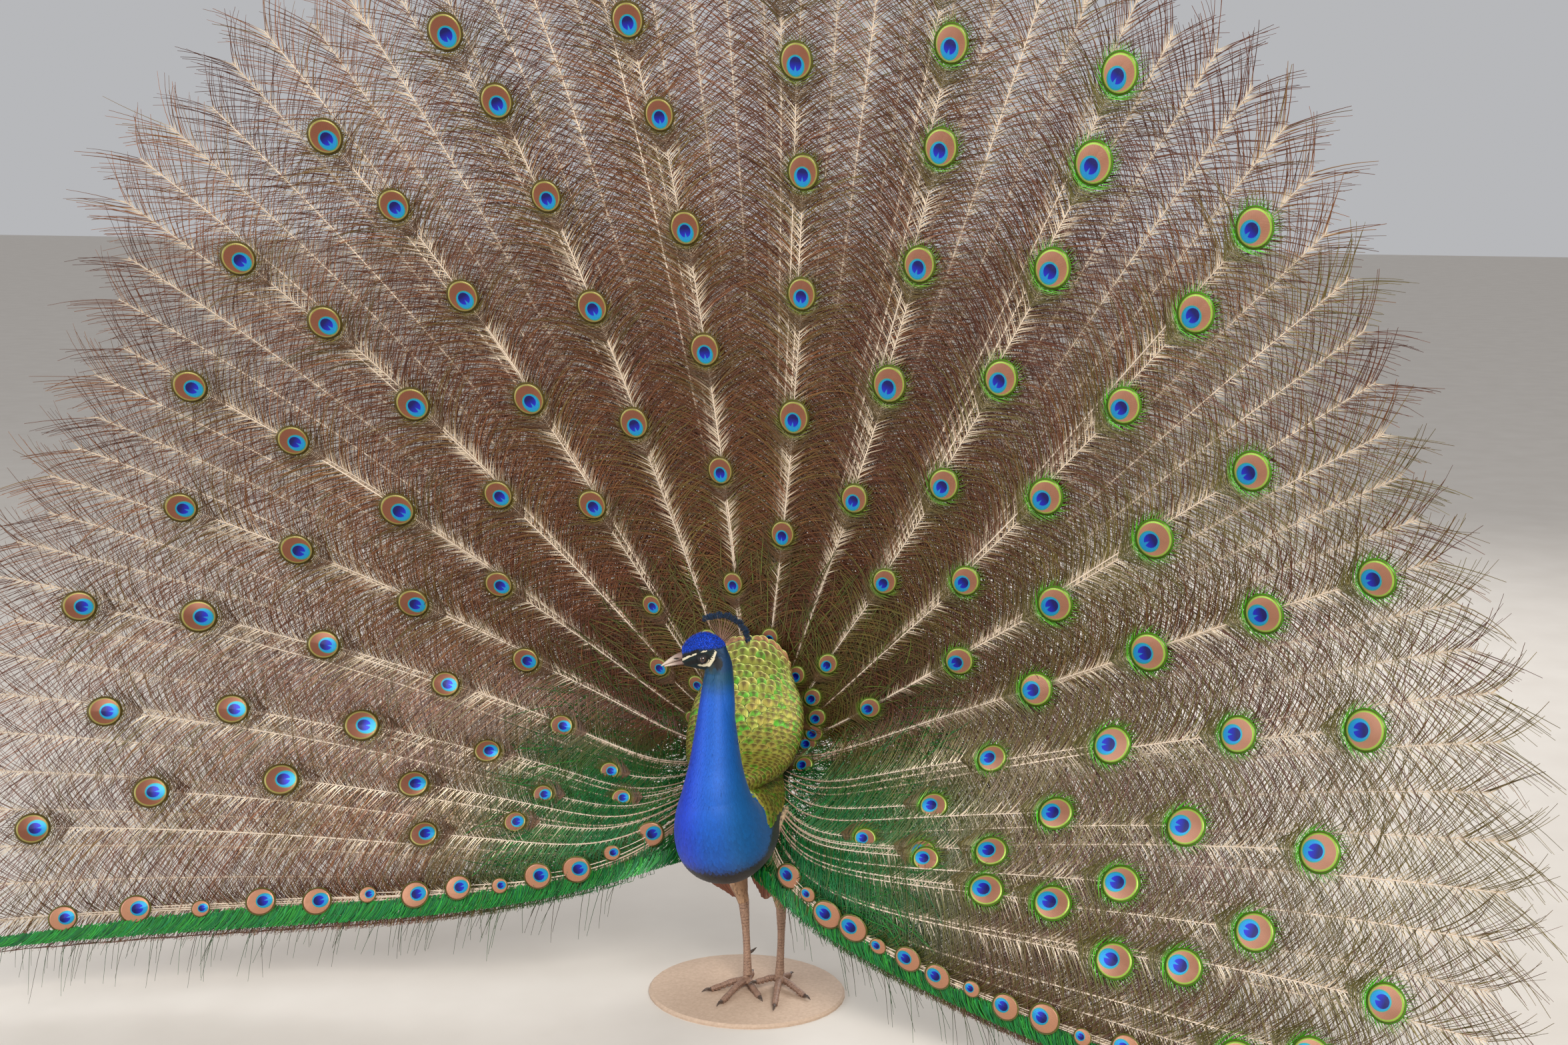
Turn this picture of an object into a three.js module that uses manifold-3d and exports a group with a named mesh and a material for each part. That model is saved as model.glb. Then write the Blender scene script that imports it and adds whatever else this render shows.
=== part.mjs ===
// Indian peafowl, adult male, standing still with its train spread: a life-size museum model.
// Millimetres, +Z up. The train faces -Y, the bird's left is +X. The origin is on the floor at the
// middle of the bounding box. Every sub-part is one closed solid of its own.

import * as THREE from 'three';
import { mergeVertices } from 'three/addons/utils/BufferGeometryUtils.js';
import Module from 'manifold-3d';

const wasm = await Module();
wasm.setup();

// ---- driving dimensions ----------------------------------------------------------------------
const GAP = 0.3; // clearance between neighbouring solids
const RAD = Math.PI / 180;

// The body stands turned a little against the train, about a line that passes through this floor point.
const BODY_TURN = 5.7 * RAD;
const BODY_AT = new THREE.Vector3(-56, 0, 0);

// Trunk and neck: one line in the body's middle plane from the tail root to the head, with the half
// width and the reach to the back and belly side at each place.
const BODY_STATIONS = [
  { at: 'tail root', y: 212, z: 446, half: 34, back: 24, belly: 28 },
  { at: 'rump', y: 168, z: 398, half: 60, back: 46, belly: 56 },
  { at: 'loin', y: 104, z: 356, half: 80, back: 68, belly: 82 },
  { at: 'middle', y: 22, z: 338, half: 91, back: 84, belly: 92 },
  { at: 'shoulder', y: -62, z: 336, half: 92, back: 92, belly: 93 },
  { at: 'breast', y: -128, z: 352, half: 87, back: 84, belly: 98 },
  { at: 'crop', y: -166, z: 396, half: 77, back: 66, belly: 90 },
  { at: 'neck base', y: -176, z: 444, half: 61, back: 57, belly: 72 },
  { at: 'lower neck', y: -175, z: 494, half: 48, back: 48, belly: 54 },
  { at: 'middle neck', y: -171, z: 548, half: 39, back: 40, belly: 43 },
  { at: 'upper neck', y: -166, z: 602, half: 31, back: 32, belly: 34 },
  { at: 'throat', y: -161, z: 650, half: 24.5, back: 24, belly: 25 },
  { at: 'head', y: -158, z: 684, half: 19, back: 18, belly: 17 },
];
const BODY_SIDES = 20; // points round a body ring
const BODY_STEP = 2; // rings in each stretch between two stations
const BODY_SQUARE = 0.92; // below 1 the sections are fuller than an ellipse

// Head, in its own axes: forward along the bill, side, up, measured from the middle between the eyes.
const HEAD_TURN = -(90 - 17.8) * RAD; // from the trunk's heading round to the bird's right
const EYE_MID = new THREE.Vector3(-67.4, -162.3, 690.5);
const EYE_SIDE = 16.2; // each eye's centre from the middle plane
const EYE_RADIUS = 8.2;
const HEAD_STATIONS = [
  { at: 'nape', forward: -60, top: -16, low: -42, half: 13 },
  { at: 'back of head', forward: -52, top: 6, low: -40, half: 18.5 },
  { at: 'hind crown', forward: -38, top: 30, low: -35, half: 20.5 },
  { at: 'crown', forward: -20, top: 42, low: -29, half: 20.5 },
  { at: 'brow', forward: -4, top: 46, low: -24, half: 19 },
  { at: 'fore crown', forward: 12, top: 42, low: -20.5, half: 16 },
  { at: 'forehead', forward: 26, top: 33, low: -17, half: 12.5 },
  { at: 'bill base', forward: 37, top: 19, low: -13, half: 8.8 },
];
const NECK_TOP_CUT = 655; // height at which the head ends and the neck begins
const BILL = { tip: 75, tipDrop: -16.5, base: 35, topBase: 11, lowBase: -13, gapeBase: -3, half: 8 };
const CREST = { forward: -33, up: 36, back: 10, drop: 7, shafts: 42, first: 60, last: 170, thick: 5 };

// Legs: ankle and foot places on the row's floor grid.
const ANKLES = { right: [-44, 2, 163], left: [31, 6, 161] };
const FEET = { right: [-33, -8, 21], left: [27, 8, 24] };
const HIPS = { right: [-84, 26, 300], left: [2, 34, 300] };
const TOE_RADIUS = 6.4;
const FLOOR_FLAT = 1.6; // how much of each toe's underside is cut to a flat
const TOES = {
  right: [
    { at: 'outer', tip: [-92, -62, 4.4], lift: 9 },
    { at: 'middle', tip: [-52, -112, 4.4], lift: 12 },
    { at: 'inner', tip: [10, -66, 3.4], lift: -4 },
    { at: 'hind', tip: [-40, 40, 4.2], lift: 4 },
  ],
  left: [
    { at: 'inner', tip: [-8, -36, 19.5], lift: 9 },
    { at: 'middle', tip: [50, -98, 4.4], lift: 12 },
    { at: 'outer', tip: [92, -38, 4.4], lift: 9 },
    { at: 'hind', tip: [34, 52, 4.2], lift: 4 },
  ],
};
const CLAW_LENGTH = 17;
const SPUR = { height: 62, length: 22, side: 12, radius: 4.6 };

// Train: a dish of long feathers round the root of the tail. A place on it is a distance and an
// angle from straight up; the dish leans forward, its sides sweep forward and its low edges curl in.
const TRAIN_ROOT = new THREE.Vector3(-75, 190, 400);
const TRAIN_LEAN = 0.08;
const DISH_ALL = 0.04e-3; // forward reach, times the distance squared
const DISH_SIDES = 0.23e-3; // more of it towards the sides
const CURL = { reach: 360, over: 180, from: 65 * RAD, full: 115 * RAD };
const TRAIN_LENGTH = 1745; // along a feather from the root to its tip
const TRAIN_INNER = 96; // where the feathers leave the pad that their quills grow from
// Height of the train's lower edge: far out, its rise near the body and over what length it falls.
const LOW_EDGE = {
  right: { far: 122, rise: 172, over: 450 },
  left: { far: 34, rise: 262, over: 500 },
};
const GORES = 12;
const GORE_CELLS = 6;
const GORE_ROWS = [0, 0.05, 0.11, 0.19, 0.3, 0.46, 0.64, 0.82, 1];
const TIP_NOTCH = 62; // depth of the notch between two feather tips at the rim
const FRINGE_NOTCH = 12; // the same at the low edge
const SHEET = { rim: 0.8, root: 4, over: 160 }; // thickness out to the rim, at the root and over what length

// Mound of scale feathers from the shoulders up into the train: reach out of the back and into it.
const MANTLE_STATIONS = [
  { at: 'shoulders', y: -92, z: 434, half: 46, out: 16, in: 30 },
  { at: 'upper back', y: -50, z: 440, half: 74, out: 20, in: 34 },
  { at: 'back', y: 10, z: 450, half: 100, out: 22, in: 40 },
  { at: 'saddle', y: 66, z: 486, half: 112, out: 24, in: 46 },
  { at: 'fan foot', y: 104, z: 536, half: 106, out: 22, in: 34 },
  { at: 'fan', y: 124, z: 588, half: 82, out: 15, in: 22 },
  { at: 'fan top', y: 133, z: 624, half: 38, out: 6, in: 8 },
];
const TAIL = { feathers: 18, spread: 62 * RAD, length: 455, inner: 60, lean: -0.16, behind: 52, thick: 1.6 };

// Low oval plate that the bird stands on, because its feet alone would not hold it up: middle, half
// sizes, thickness and the width of the bevel round its top.
const BASE = { x: -30, y: -24, halfX: 192, halfY: 172, thick: 8, bevel: 4, sides: 36 };

// ---- small geometry kit ----------------------------------------------------------------------
const smooth = (t) => {
  const x = Math.min(Math.max(t, 0), 1);
  return x * x * (3 - 2 * x);
};
const lerp = (a, b, t) => a + (b - a) * t;

/** Closed solid from a list of rings of equal size, closed by a fan on a middle point at each end. */
function loft(rings) {
  const sides = rings[0].length;
  const points = rings.flat();
  const faces = [];
  for (let i = 0; i + 1 < rings.length; i++) {
    for (let j = 0; j < sides; j++) {
      const a = i * sides + j;
      const b = i * sides + ((j + 1) % sides);
      faces.push(a, b, b + sides, a, b + sides, a + sides);
    }
  }
  for (const [ring, turn] of [[0, 1], [rings.length - 1, 0]]) {
    const middle = new THREE.Vector3();
    for (const p of rings[ring]) middle.addScaledVector(p, 1 / sides);
    const m = points.push(middle) - 1;
    for (let j = 0; j < sides; j++) {
      const a = ring * sides + j;
      const b = ring * sides + ((j + 1) % sides);
      if (turn) faces.push(m, b, a);
      else faces.push(m, a, b);
    }
  }
  return outward(points, faces);
}

/** Closed sheet between two grids of points, front and back, each (rows + 1) by (cells + 1). */
function sheet(front, back) {
  const rows = front.length;
  const cols = front[0].length;
  const points = [...front.flat(), ...back.flat()];
  const half = rows * cols;
  const faces = [];
  const quad = (a, b, c, d) => faces.push(a, b, c, a, c, d);
  for (let i = 0; i + 1 < rows; i++) {
    for (let j = 0; j + 1 < cols; j++) {
      const a = i * cols + j;
      quad(a, a + 1, a + cols + 1, a + cols);
      quad(half + a, half + a + cols, half + a + cols + 1, half + a + 1);
    }
  }
  for (let j = 0; j + 1 < cols; j++) {
    const low = j;
    const high = (rows - 1) * cols + j;
    quad(low + 1, low, half + low, half + low + 1);
    quad(high, high + 1, half + high + 1, half + high);
  }
  for (let i = 0; i + 1 < rows; i++) {
    const left = i * cols;
    const right = i * cols + cols - 1;
    quad(left, left + cols, half + left + cols, half + left);
    quad(right + cols, right, half + right, half + right + cols);
  }
  return outward(points, faces);
}

/** Geometry with its faces turned outward, whichever way they were wound. */
function outward(points, faces) {
  let volume = 0;
  for (let k = 0; k < faces.length; k += 3) {
    const [a, b, c] = [points[faces[k]], points[faces[k + 1]], points[faces[k + 2]]];
    volume += a.dot(new THREE.Vector3().crossVectors(b, c));
  }
  if (volume < 0) {
    for (let k = 0; k < faces.length; k += 3) {
      [faces[k + 1], faces[k + 2]] = [faces[k + 2], faces[k + 1]];
    }
  }
  const geometry = new THREE.BufferGeometry();
  const places = points.flatMap((p) => [p.x, p.y, p.z]);
  geometry.setAttribute('position', new THREE.Float32BufferAttribute(places, 3));
  geometry.setIndex(faces);
  return geometry;
}

const toSolid = (geometry) => {
  const plain = mergeVertices(geometry, 1e-4);
  return new wasm.Manifold(new wasm.Mesh({
    numProp: 3,
    vertProperties: new Float32Array(plain.attributes.position.array),
    triVerts: new Uint32Array(plain.index.array),
  }));
};

/** The largest connected piece of a solid, as a geometry. */
function fromSolid(solid) {
  const pieces = solid.decompose().sort((a, b) => b.volume() - a.volume());
  const mesh = pieces[0].getMesh();
  const geometry = new THREE.BufferGeometry();
  geometry.setAttribute('position', new THREE.Float32BufferAttribute(mesh.vertProperties, 3));
  geometry.setIndex([...mesh.triVerts]);
  return geometry;
}

const cut = (geometry, ...tools) =>
  fromSolid(tools.reduce((solid, tool) => solid.subtract(tool), toSolid(geometry)));
const joined = (...geometries) => geometries.map(toSolid).reduce((a, b) => a.add(b));

/** A slab that reaches far sideways, between two heights. */
function slab(low, high) {
  const box = new THREE.BoxGeometry(4000, 4000, high - low);
  box.translate(0, 0, (low + high) / 2);
  box.deleteAttribute('normal');
  box.deleteAttribute('uv');
  return toSolid(box);
}

/** Ring of a curved tube: half width across, and different reach to the two sides of its plane. */
function ring(centre, across, up, half, above, below, sides, power = 1) {
  const points = [];
  for (let k = 0; k < sides; k++) {
    const turn = (2 * Math.PI * k) / sides;
    const c = Math.cos(turn);
    const s = Math.sin(turn);
    points.push(centre.clone()
      .addScaledVector(across, Math.sign(c) * half * Math.abs(c) ** power)
      .addScaledVector(up, Math.sign(s) * (s > 0 ? above : below) * Math.abs(s) ** power));
  }
  return points;
}

/** Round tube through points, each with its radius, as a closed solid. */
function tube(path, radii, sides = 8, flat = 1) {
  const curve = new THREE.CatmullRomCurve3(path);
  const rings = radii.map((radius, i) => {
    const t = i / (radii.length - 1);
    const along = curve.getTangent(t);
    const across = new THREE.Vector3().crossVectors(along, new THREE.Vector3(0.05, 0.02, 1)).normalize();
    const up = new THREE.Vector3().crossVectors(across, along).normalize();
    return ring(curve.getPoint(t), across, up, radius, radius * flat, radius * flat, sides);
  });
  return loft(rings);
}

const model = new THREE.Group();

/** Adds one named sub-part with its own material. */
function part(name, geometry, color, roughness = 0.8, metalness = 0) {
  geometry.computeVertexNormals();
  const mesh = new THREE.Mesh(geometry, new THREE.MeshStandardMaterial({ color, roughness, metalness }));
  mesh.name = name;
  model.add(mesh);
}

// ---- trunk and neck --------------------------------------------------------------------------
const bodyPlace = (p) => p.applyAxisAngle(new THREE.Vector3(0, 0, 1), BODY_TURN).add(BODY_AT);
const bodyAxis = (v) => v.applyAxisAngle(new THREE.Vector3(0, 0, 1), BODY_TURN);

/** Value of one measure between stations, by the same curve as the centre line. */
function along(stations, key, t) {
  const n = stations.length;
  const i = Math.min(Math.floor(t), n - 2);
  const u = t - i;
  const at = (k) => stations[Math.min(Math.max(k, 0), n - 1)][key];
  const [a, b, c, d] = [at(i - 1), at(i), at(i + 1), at(i + 2)];
  return b + 0.5 * u * (c - a + u * (2 * a - 5 * b + 4 * c - d + u * (3 * (b - c) + d - a)));
}

/** One ring of the trunk or neck, `t` stations along; `grow` pushes the skin out, `slip` moves it on. */
function bodyRing(t, grow = 0, slip = 0) {
  const step = 0.02;
  const at = (s) => new THREE.Vector3(0, along(BODY_STATIONS, 'y', s), along(BODY_STATIONS, 'z', s));
  const last = BODY_STATIONS.length - 1;
  const forward = at(Math.min(t + step, last)).sub(at(Math.max(t - step, 0))).normalize();
  const across = bodyAxis(new THREE.Vector3(1, 0, 0));
  const up = bodyAxis(new THREE.Vector3(0, -forward.z, forward.y).negate());
  const centre = bodyPlace(at(t).addScaledVector(forward, slip));
  const size = (key) => along(BODY_STATIONS, key, t) + grow;
  return ring(centre, across, up, size('half'), size('back'), size('belly'), BODY_SIDES, BODY_SQUARE);
}

/** The stretch of body between two stations, parted from the next by the gap. */
function bodyLength(from, to, grow = 0) {
  const count = Math.round((to - from) * BODY_STEP);
  const rings = [];
  for (let k = 0; k <= count; k++) {
    const slip = k === 0 ? GAP / 2 - 2 * grow : k === count ? -GAP / 2 + 2 * grow : 0;
    rings.push(bodyRing(from + (k / count) * (to - from), grow, slip));
  }
  return loft(rings);
}

const last = BODY_STATIONS.length - 1;
const bodyCutter = toSolid(bodyLength(0, last, GAP));

// ---- head ------------------------------------------------------------------------------------
const headHeading = BODY_TURN + HEAD_TURN;
const headForward = new THREE.Vector3(Math.sin(headHeading), -Math.cos(headHeading), 0);
const headLeft = new THREE.Vector3(-headForward.y, headForward.x, 0);
const UP = new THREE.Vector3(0, 0, 1);
const headPlace = (forward, left, up) => EYE_MID.clone()
  .addScaledVector(headForward, forward)
  .addScaledVector(headLeft, left)
  .addScaledVector(UP, up);

/** Head loft from the nape to the base of the bill; `grow` pushes it out all round. */
function headLoft(grow = 0) {
  const n = HEAD_STATIONS.length - 1;
  const rings = [];
  for (let k = 0; k <= n * 2; k++) {
    const t = k / 2;
    const top = along(HEAD_STATIONS, 'top', t);
    const low = along(HEAD_STATIONS, 'low', t);
    const middle = low + (top - low) * 0.45;
    const slip = k === 0 ? -grow : k === n * 2 ? grow : 0;
    rings.push(ring(headPlace(along(HEAD_STATIONS, 'forward', t) + slip, 0, middle), headLeft, UP,
      along(HEAD_STATIONS, 'half', t) + grow, top - middle + grow, middle - low + grow, 16));
  }
  return loft(rings);
}

const neckTop = bodyLength(9, last);
const eyeBall = (side, radius) => {
  const ball = new THREE.SphereGeometry(radius, 12, 8);
  const centre = headPlace(0, side * EYE_SIDE, 0);
  ball.translate(centre.x, centre.y, centre.z);
  ball.deleteAttribute('normal');
  ball.deleteAttribute('uv');
  return mergeVertices(ball, 1e-4);
};

/** Bill half: rings from the base to the tip between two edges, each a height over the eye line. */
function billHalf(edge, end) {
  const rings = [];
  for (let k = 0; k <= 6; k++) {
    const t = (end * k) / 6;
    const { top, low } = edge(t);
    const middle = (top + low) / 2;
    const half = BILL.half * Math.sqrt(1 - 0.985 * t ** 1.25);
    rings.push(ring(headPlace(lerp(BILL.base, BILL.tip, t), 0, middle), headLeft, UP,
      half, (top - low) / 2, (top - low) / 2, 10));
  }
  return loft(rings);
}
const culmen = (t) => lerp(BILL.topBase, BILL.tipDrop + 1, t ** 1.55);
const gape = (t) => lerp(BILL.gapeBase, BILL.tipDrop - 0.6, t ** 1.25);
const jawLine = (t) => lerp(BILL.lowBase, BILL.tipDrop - 1.6, t ** 1.1);
const upperEdge = (t) => ({ top: culmen(t), low: gape(t) });
const lowerEdge = (t) => ({ top: gape(t) - GAP, low: Math.min(jawLine(t), gape(t) - GAP - 0.9) });
const LOWER_BILL_END = 0.86; // the lower half stops short of the hooked tip

/** Crest: a thin fan of bare shafts with a tufted arc along its tips, standing on the hind crown. */
function crestSolid() {
  const front = [];
  const back = [];
  const count = 9;
  for (const [reach, wide] of [[0, 0.9], [0.35, 0.5], [0.74, 0.5], [0.86, 1], [1, 0.7]]) {
    const rowF = [];
    const rowB = [];
    for (let k = 0; k <= count; k++) {
      const turn = lerp(CREST.first, CREST.last, k / count) * RAD;
      const length = 4 + reach * (CREST.shafts + (k % 2 ? 0 : 4));
      const forward = CREST.forward - CREST.back * (k / count) + Math.cos(turn) * length;
      const up = CREST.up - CREST.drop * (k / count) + Math.sin(turn) * length;
      const half = (CREST.thick / 2) * wide;
      rowF.push(headPlace(forward, half, up));
      rowB.push(headPlace(forward, -half, up));
    }
    front.push(rowF);
    back.push(rowB);
  }
  return sheet(front, back);
}

const headCutter = toSolid(headLoft(GAP));
const aboveCut = slab(NECK_TOP_CUT + GAP / 2, 2000);
const belowCut = slab(-100, NECK_TOP_CUT - GAP / 2);
const headSolid = joined(headLoft(), neckTop).intersect(aboveCut)
  .subtract(toSolid(eyeBall(1, EYE_RADIUS + GAP)))
  .subtract(toSolid(eyeBall(-1, EYE_RADIUS + GAP)));
const headPiece = fromSolid(headSolid);
part('head', headPiece, 0x14357e, 0.6);
part('eye_left', eyeBall(1, EYE_RADIUS), 0x2a140c, 0.1);
part('eye_right', eyeBall(-1, EYE_RADIUS), 0x2a140c, 0.1);
part('bill_upper', cut(billHalf(upperEdge, 1), headCutter), 0xc9a593, 0.45);
part('bill_lower', cut(billHalf(lowerEdge, LOWER_BILL_END), headCutter), 0xc9a593, 0.45);
part('crest', cut(crestSolid(), headCutter), 0x0d2a4a, 0.9);

const upperNeck = toSolid(bodyLength(9, last)).intersect(belowCut)
  .subtract(toSolid(headLoft(GAP)).intersect(aboveCut));
part('neck_upper', fromSolid(upperNeck), 0x1238a8, 0.6);
part('neck_lower', bodyLength(6.5, 9), 0x1238a8, 0.6);
part('breast', bodyLength(4, 6.5), 0x10339a, 0.6);
part('belly_back', bodyLength(1.5, 4), 0x1b2230, 0.85);
part('rump', bodyLength(0, 1.5), 0x4b4436, 0.9);

// ---- wings -----------------------------------------------------------------------------------
// Each wing hangs half folded on the flank, its chestnut primaries reaching down behind the leg.
const WING_STATIONS = [
  { at: 'wrist', y: -52, z: 322, out: 85, deep: 9, high: 34 },
  { at: 'fore wing', y: -10, z: 316, out: 89, deep: 13, high: 52 },
  { at: 'wing', y: 52, z: 300, out: 86, deep: 13, high: 56 },
  { at: 'hind wing', y: 112, z: 282, out: 76, deep: 9, high: 50 },
];
const PRIMARIES_STATIONS = [
  { at: 'root', y: 56, z: 262, out: 80, deep: 6, wide: 30 },
  { at: 'upper', y: 88, z: 228, out: 66, deep: 5, wide: 40 },
  { at: 'lower', y: 114, z: 180, out: 46, deep: 3.4, wide: 38 },
  { at: 'tips', y: 130, z: 124, out: 25, deep: 1.2, wide: 19 },
];

const placeOf = (stations, side, t) =>
  new THREE.Vector3(side * along(stations, 'out', t), along(stations, 'y', t), along(stations, 'z', t));

/** Upright pillow on the flank: the arm and its coverts. */
function wingLoft(side, grow = 0) {
  const rings = [];
  const lean = 0.22 * side;
  const up = bodyAxis(new THREE.Vector3(lean, 0.3, 1).normalize());
  const across = bodyAxis(new THREE.Vector3(1, 0, -lean).normalize());
  for (let t = 0; t <= WING_STATIONS.length - 1; t += 0.5) {
    const deep = along(WING_STATIONS, 'deep', t) + grow;
    const high = along(WING_STATIONS, 'high', t) + grow;
    rings.push(ring(bodyPlace(placeOf(WING_STATIONS, side, t)), across, up, deep, high, high, 10));
  }
  return loft(rings);
}

/** Blade of long feathers that hangs inward behind the leg with its broad side to the front. */
function primariesLoft(side, grow = 0) {
  const rings = [];
  const end = PRIMARIES_STATIONS.length - 1;
  const run = placeOf(PRIMARIES_STATIONS, side, end).sub(placeOf(PRIMARIES_STATIONS, side, 0)).normalize();
  const across = new THREE.Vector3().crossVectors(run, new THREE.Vector3(0, -0.86, -0.5)).normalize();
  const face = new THREE.Vector3().crossVectors(across, run).normalize();
  for (let t = 0; t <= end; t += 0.5) {
    const deep = along(PRIMARIES_STATIONS, 'deep', t) + grow;
    const wide = along(PRIMARIES_STATIONS, 'wide', t) + grow;
    const centre = bodyPlace(placeOf(PRIMARIES_STATIONS, side, t));
    rings.push(ring(centre, bodyAxis(across.clone()), bodyAxis(face.clone()), wide, deep, deep, 10));
  }
  return loft(rings);
}

const wingCutters = [];
for (const [name, side] of [['left', 1], ['right', -1]]) {
  const wingCutter = toSolid(wingLoft(side, GAP));
  part(`wing_${name}`, cut(wingLoft(side), bodyCutter), 0x8a7a5e, 0.85);
  part(`primaries_${name}`, cut(primariesLoft(side), bodyCutter, wingCutter), 0xa0522d, 0.8);
  wingCutters.push(wingCutter, toSolid(primariesLoft(side, GAP)));
}

// ---- legs ------------------------------------------------------------------------------------
const vec = (a) => new THREE.Vector3(...a);

function thigh(side, grow = 0) {
  const [hip, ankle] = [vec(HIPS[side]), vec(ANKLES[side])];
  const knee = hip.clone().lerp(ankle, 0.45).add(new THREE.Vector3(0, -6, 0));
  const shin = hip.clone().lerp(ankle, 0.78).add(new THREE.Vector3(0, -3, 0));
  const end = ankle.clone().add(new THREE.Vector3(0, 0, 1));
  return tube([hip, knee, shin, end], [44, 36, 26, 17.5, 12.5, 11].map((r) => r + grow), 10, 1.15);
}

function tarsus(side, grow = 0) {
  const [ankle, foot] = [vec(ANKLES[side]), vec(FEET[side])];
  const bow = ankle.clone().lerp(foot, 0.5).add(new THREE.Vector3(0, 4, 0));
  const top = ankle.clone().add(new THREE.Vector3(0, 0, -GAP));
  return tube([top, bow, foot], [10.4, 8.6, 7, 6.8, 7.4, 9].map((r) => r + grow), 9, 1.1);
}

/** A toe's middle line: out from the foot over a low arch to the place where its claw begins. */
function toePath(side, toe) {
  const root = vec(FEET[side]).add(new THREE.Vector3(0, 0, -10));
  const tip = vec(toe.tip);
  const arch = (t, rise) => root.clone().lerp(tip, t).add(new THREE.Vector3(0, 0, rise));
  return [root, arch(0.35, toe.lift * 0.4), arch(0.72, toe.lift * 0.15), tip];
}

const toeRadii = [1.25, 0.98, 1.04, 0.86, 0.95, 0.72].map((k) => k * TOE_RADIUS);

function clawPiece(side, toe) {
  const path = toePath(side, toe);
  const out = path[3].clone().sub(path[2]).setZ(0).normalize();
  const root = path[3].clone().addScaledVector(out, 1.2);
  const mid = root.clone().addScaledVector(out, CLAW_LENGTH * 0.55).add(new THREE.Vector3(0, 0, 1.4));
  const end = root.clone().addScaledVector(out, CLAW_LENGTH).add(new THREE.Vector3(0, 0, -1.6));
  return tube([root, mid, end], [3.4, 3, 1.9, 0.6], 6);
}

const underFloor = slab(-60, 0);
for (const side of ['right', 'left']) {
  const [ankle, foot] = [vec(ANKLES[side]), vec(FEET[side])];
  const sinks = (toe) => (toe.tip[2] > 8 ? 0 : toe.tip[2] - toeRadii[5] + FLOOR_FLAT);
  const toes = TOES[side].map((toe) => {
    const path = toePath(side, toe);
    path[3].z -= sinks(toe);
    return tube(path, toeRadii, 7, 0.92);
  });
  const ball = new THREE.SphereGeometry(11.5, 10, 6);
  ball.translate(foot.x, foot.y, foot.z - 9);
  ball.deleteAttribute('normal');
  ball.deleteAttribute('uv');
  const shank = toSolid(tarsus(side, GAP));
  const wholeFoot = joined(mergeVertices(ball, 1e-4), ...toes).subtract(underFloor).subtract(shank);
  const footPiece = fromSolid(wholeFoot);
  part(`foot_${side}`, footPiece, 0x9a8478, 0.7);

  const legCutter = toSolid(thigh(side, GAP));
  part(`thigh_${side}`, cut(thigh(side), bodyCutter, ...wingCutters), 0xb9a184, 0.9);
  const inSide = side === 'left' ? -1 : 1;
  const spurShare = 1 - (SPUR.height - foot.z) / (ankle.z - foot.z);
  const spurRoot = ankle.clone().lerp(foot, spurShare).add(new THREE.Vector3(0, 5, 0));
  const spurTip = spurRoot.clone().add(new THREE.Vector3(inSide * SPUR.side, SPUR.length, 4));
  const spur = tube([spurRoot, spurRoot.clone().lerp(spurTip, 0.5), spurTip], [SPUR.radius, 3.6, 0.8], 7);
  part(`tarsus_${side}`, cut(tarsus(side), legCutter), 0xa88d74, 0.7);
  part(`spur_${side}`, cut(spur, shank), 0x6b5a4c, 0.6);
  const footSolid = toSolid(footPiece);
  for (const toe of TOES[side]) {
    const out = vec(toe.tip).sub(foot).setZ(0).normalize();
    part(`claw_${side}_${toe.at}`, clawOnFloor(clawPiece(side, toe), footSolid, out), 0x4a3f3a, 0.5);
  }
}

/** A claw cut clear of the toe behind it and of the floor. */
function clawOnFloor(claw, footSolid, out) {
  const moved = footSolid.translate([out.x * GAP, out.y * GAP, 0]);
  return fromSolid(toSolid(claw).subtract(underFloor).subtract(footSolid).subtract(moved));
}

// ---- train -----------------------------------------------------------------------------------
const trainUp = new THREE.Vector3(0, -Math.sin(TRAIN_LEAN), Math.cos(TRAIN_LEAN));
const trainOut = new THREE.Vector3(0, -Math.cos(TRAIN_LEAN), -Math.sin(TRAIN_LEAN));

/** How far the dish stands forward of its root plane at a distance and an angle from straight up. */
function dishDepth(r, turn) {
  const curl = smooth((Math.abs(turn) - CURL.from) / (CURL.full - CURL.from));
  return (DISH_ALL + DISH_SIDES * Math.sin(turn) ** 2) * r * r + CURL.reach * Math.tanh(r / CURL.over) * curl;
}

/** Point of the train's middle surface, moved forward by `offset`. */
function dish(r, turn, offset = 0) {
  return TRAIN_ROOT.clone()
    .add(new THREE.Vector3(r * Math.sin(turn), 0, 0))
    .addScaledVector(trainUp, r * Math.cos(turn))
    .addScaledVector(trainOut, dishDepth(r, turn) + offset);
}

/** Angle of the train's lower edge at distance r on one side (1 is the bird's left), found by steps. */
function lowEdge(r, side, drop = 0) {
  const edge = side > 0 ? LOW_EDGE.left : LOW_EDGE.right;
  const height = edge.far + edge.rise * Math.exp(-((r / edge.over) ** 1.3)) - drop;
  let turn = 110 * RAD;
  for (let k = 0; k < 40; k++) {
    const c = (height - TRAIN_ROOT.z + dishDepth(r, turn) * Math.sin(TRAIN_LEAN)) / (r * Math.cos(TRAIN_LEAN));
    turn = (turn + Math.acos(Math.min(Math.max(c, -1), 1))) / 2;
  }
  return side * turn;
}

/** Angle at place u across the train, 0 at the bird's right edge and 1 at its left. */
function fanTurn(u, r, drop = 0) {
  return lerp(lowEdge(r, -1, drop), lowEdge(r, 1, drop), u);
}

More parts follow.
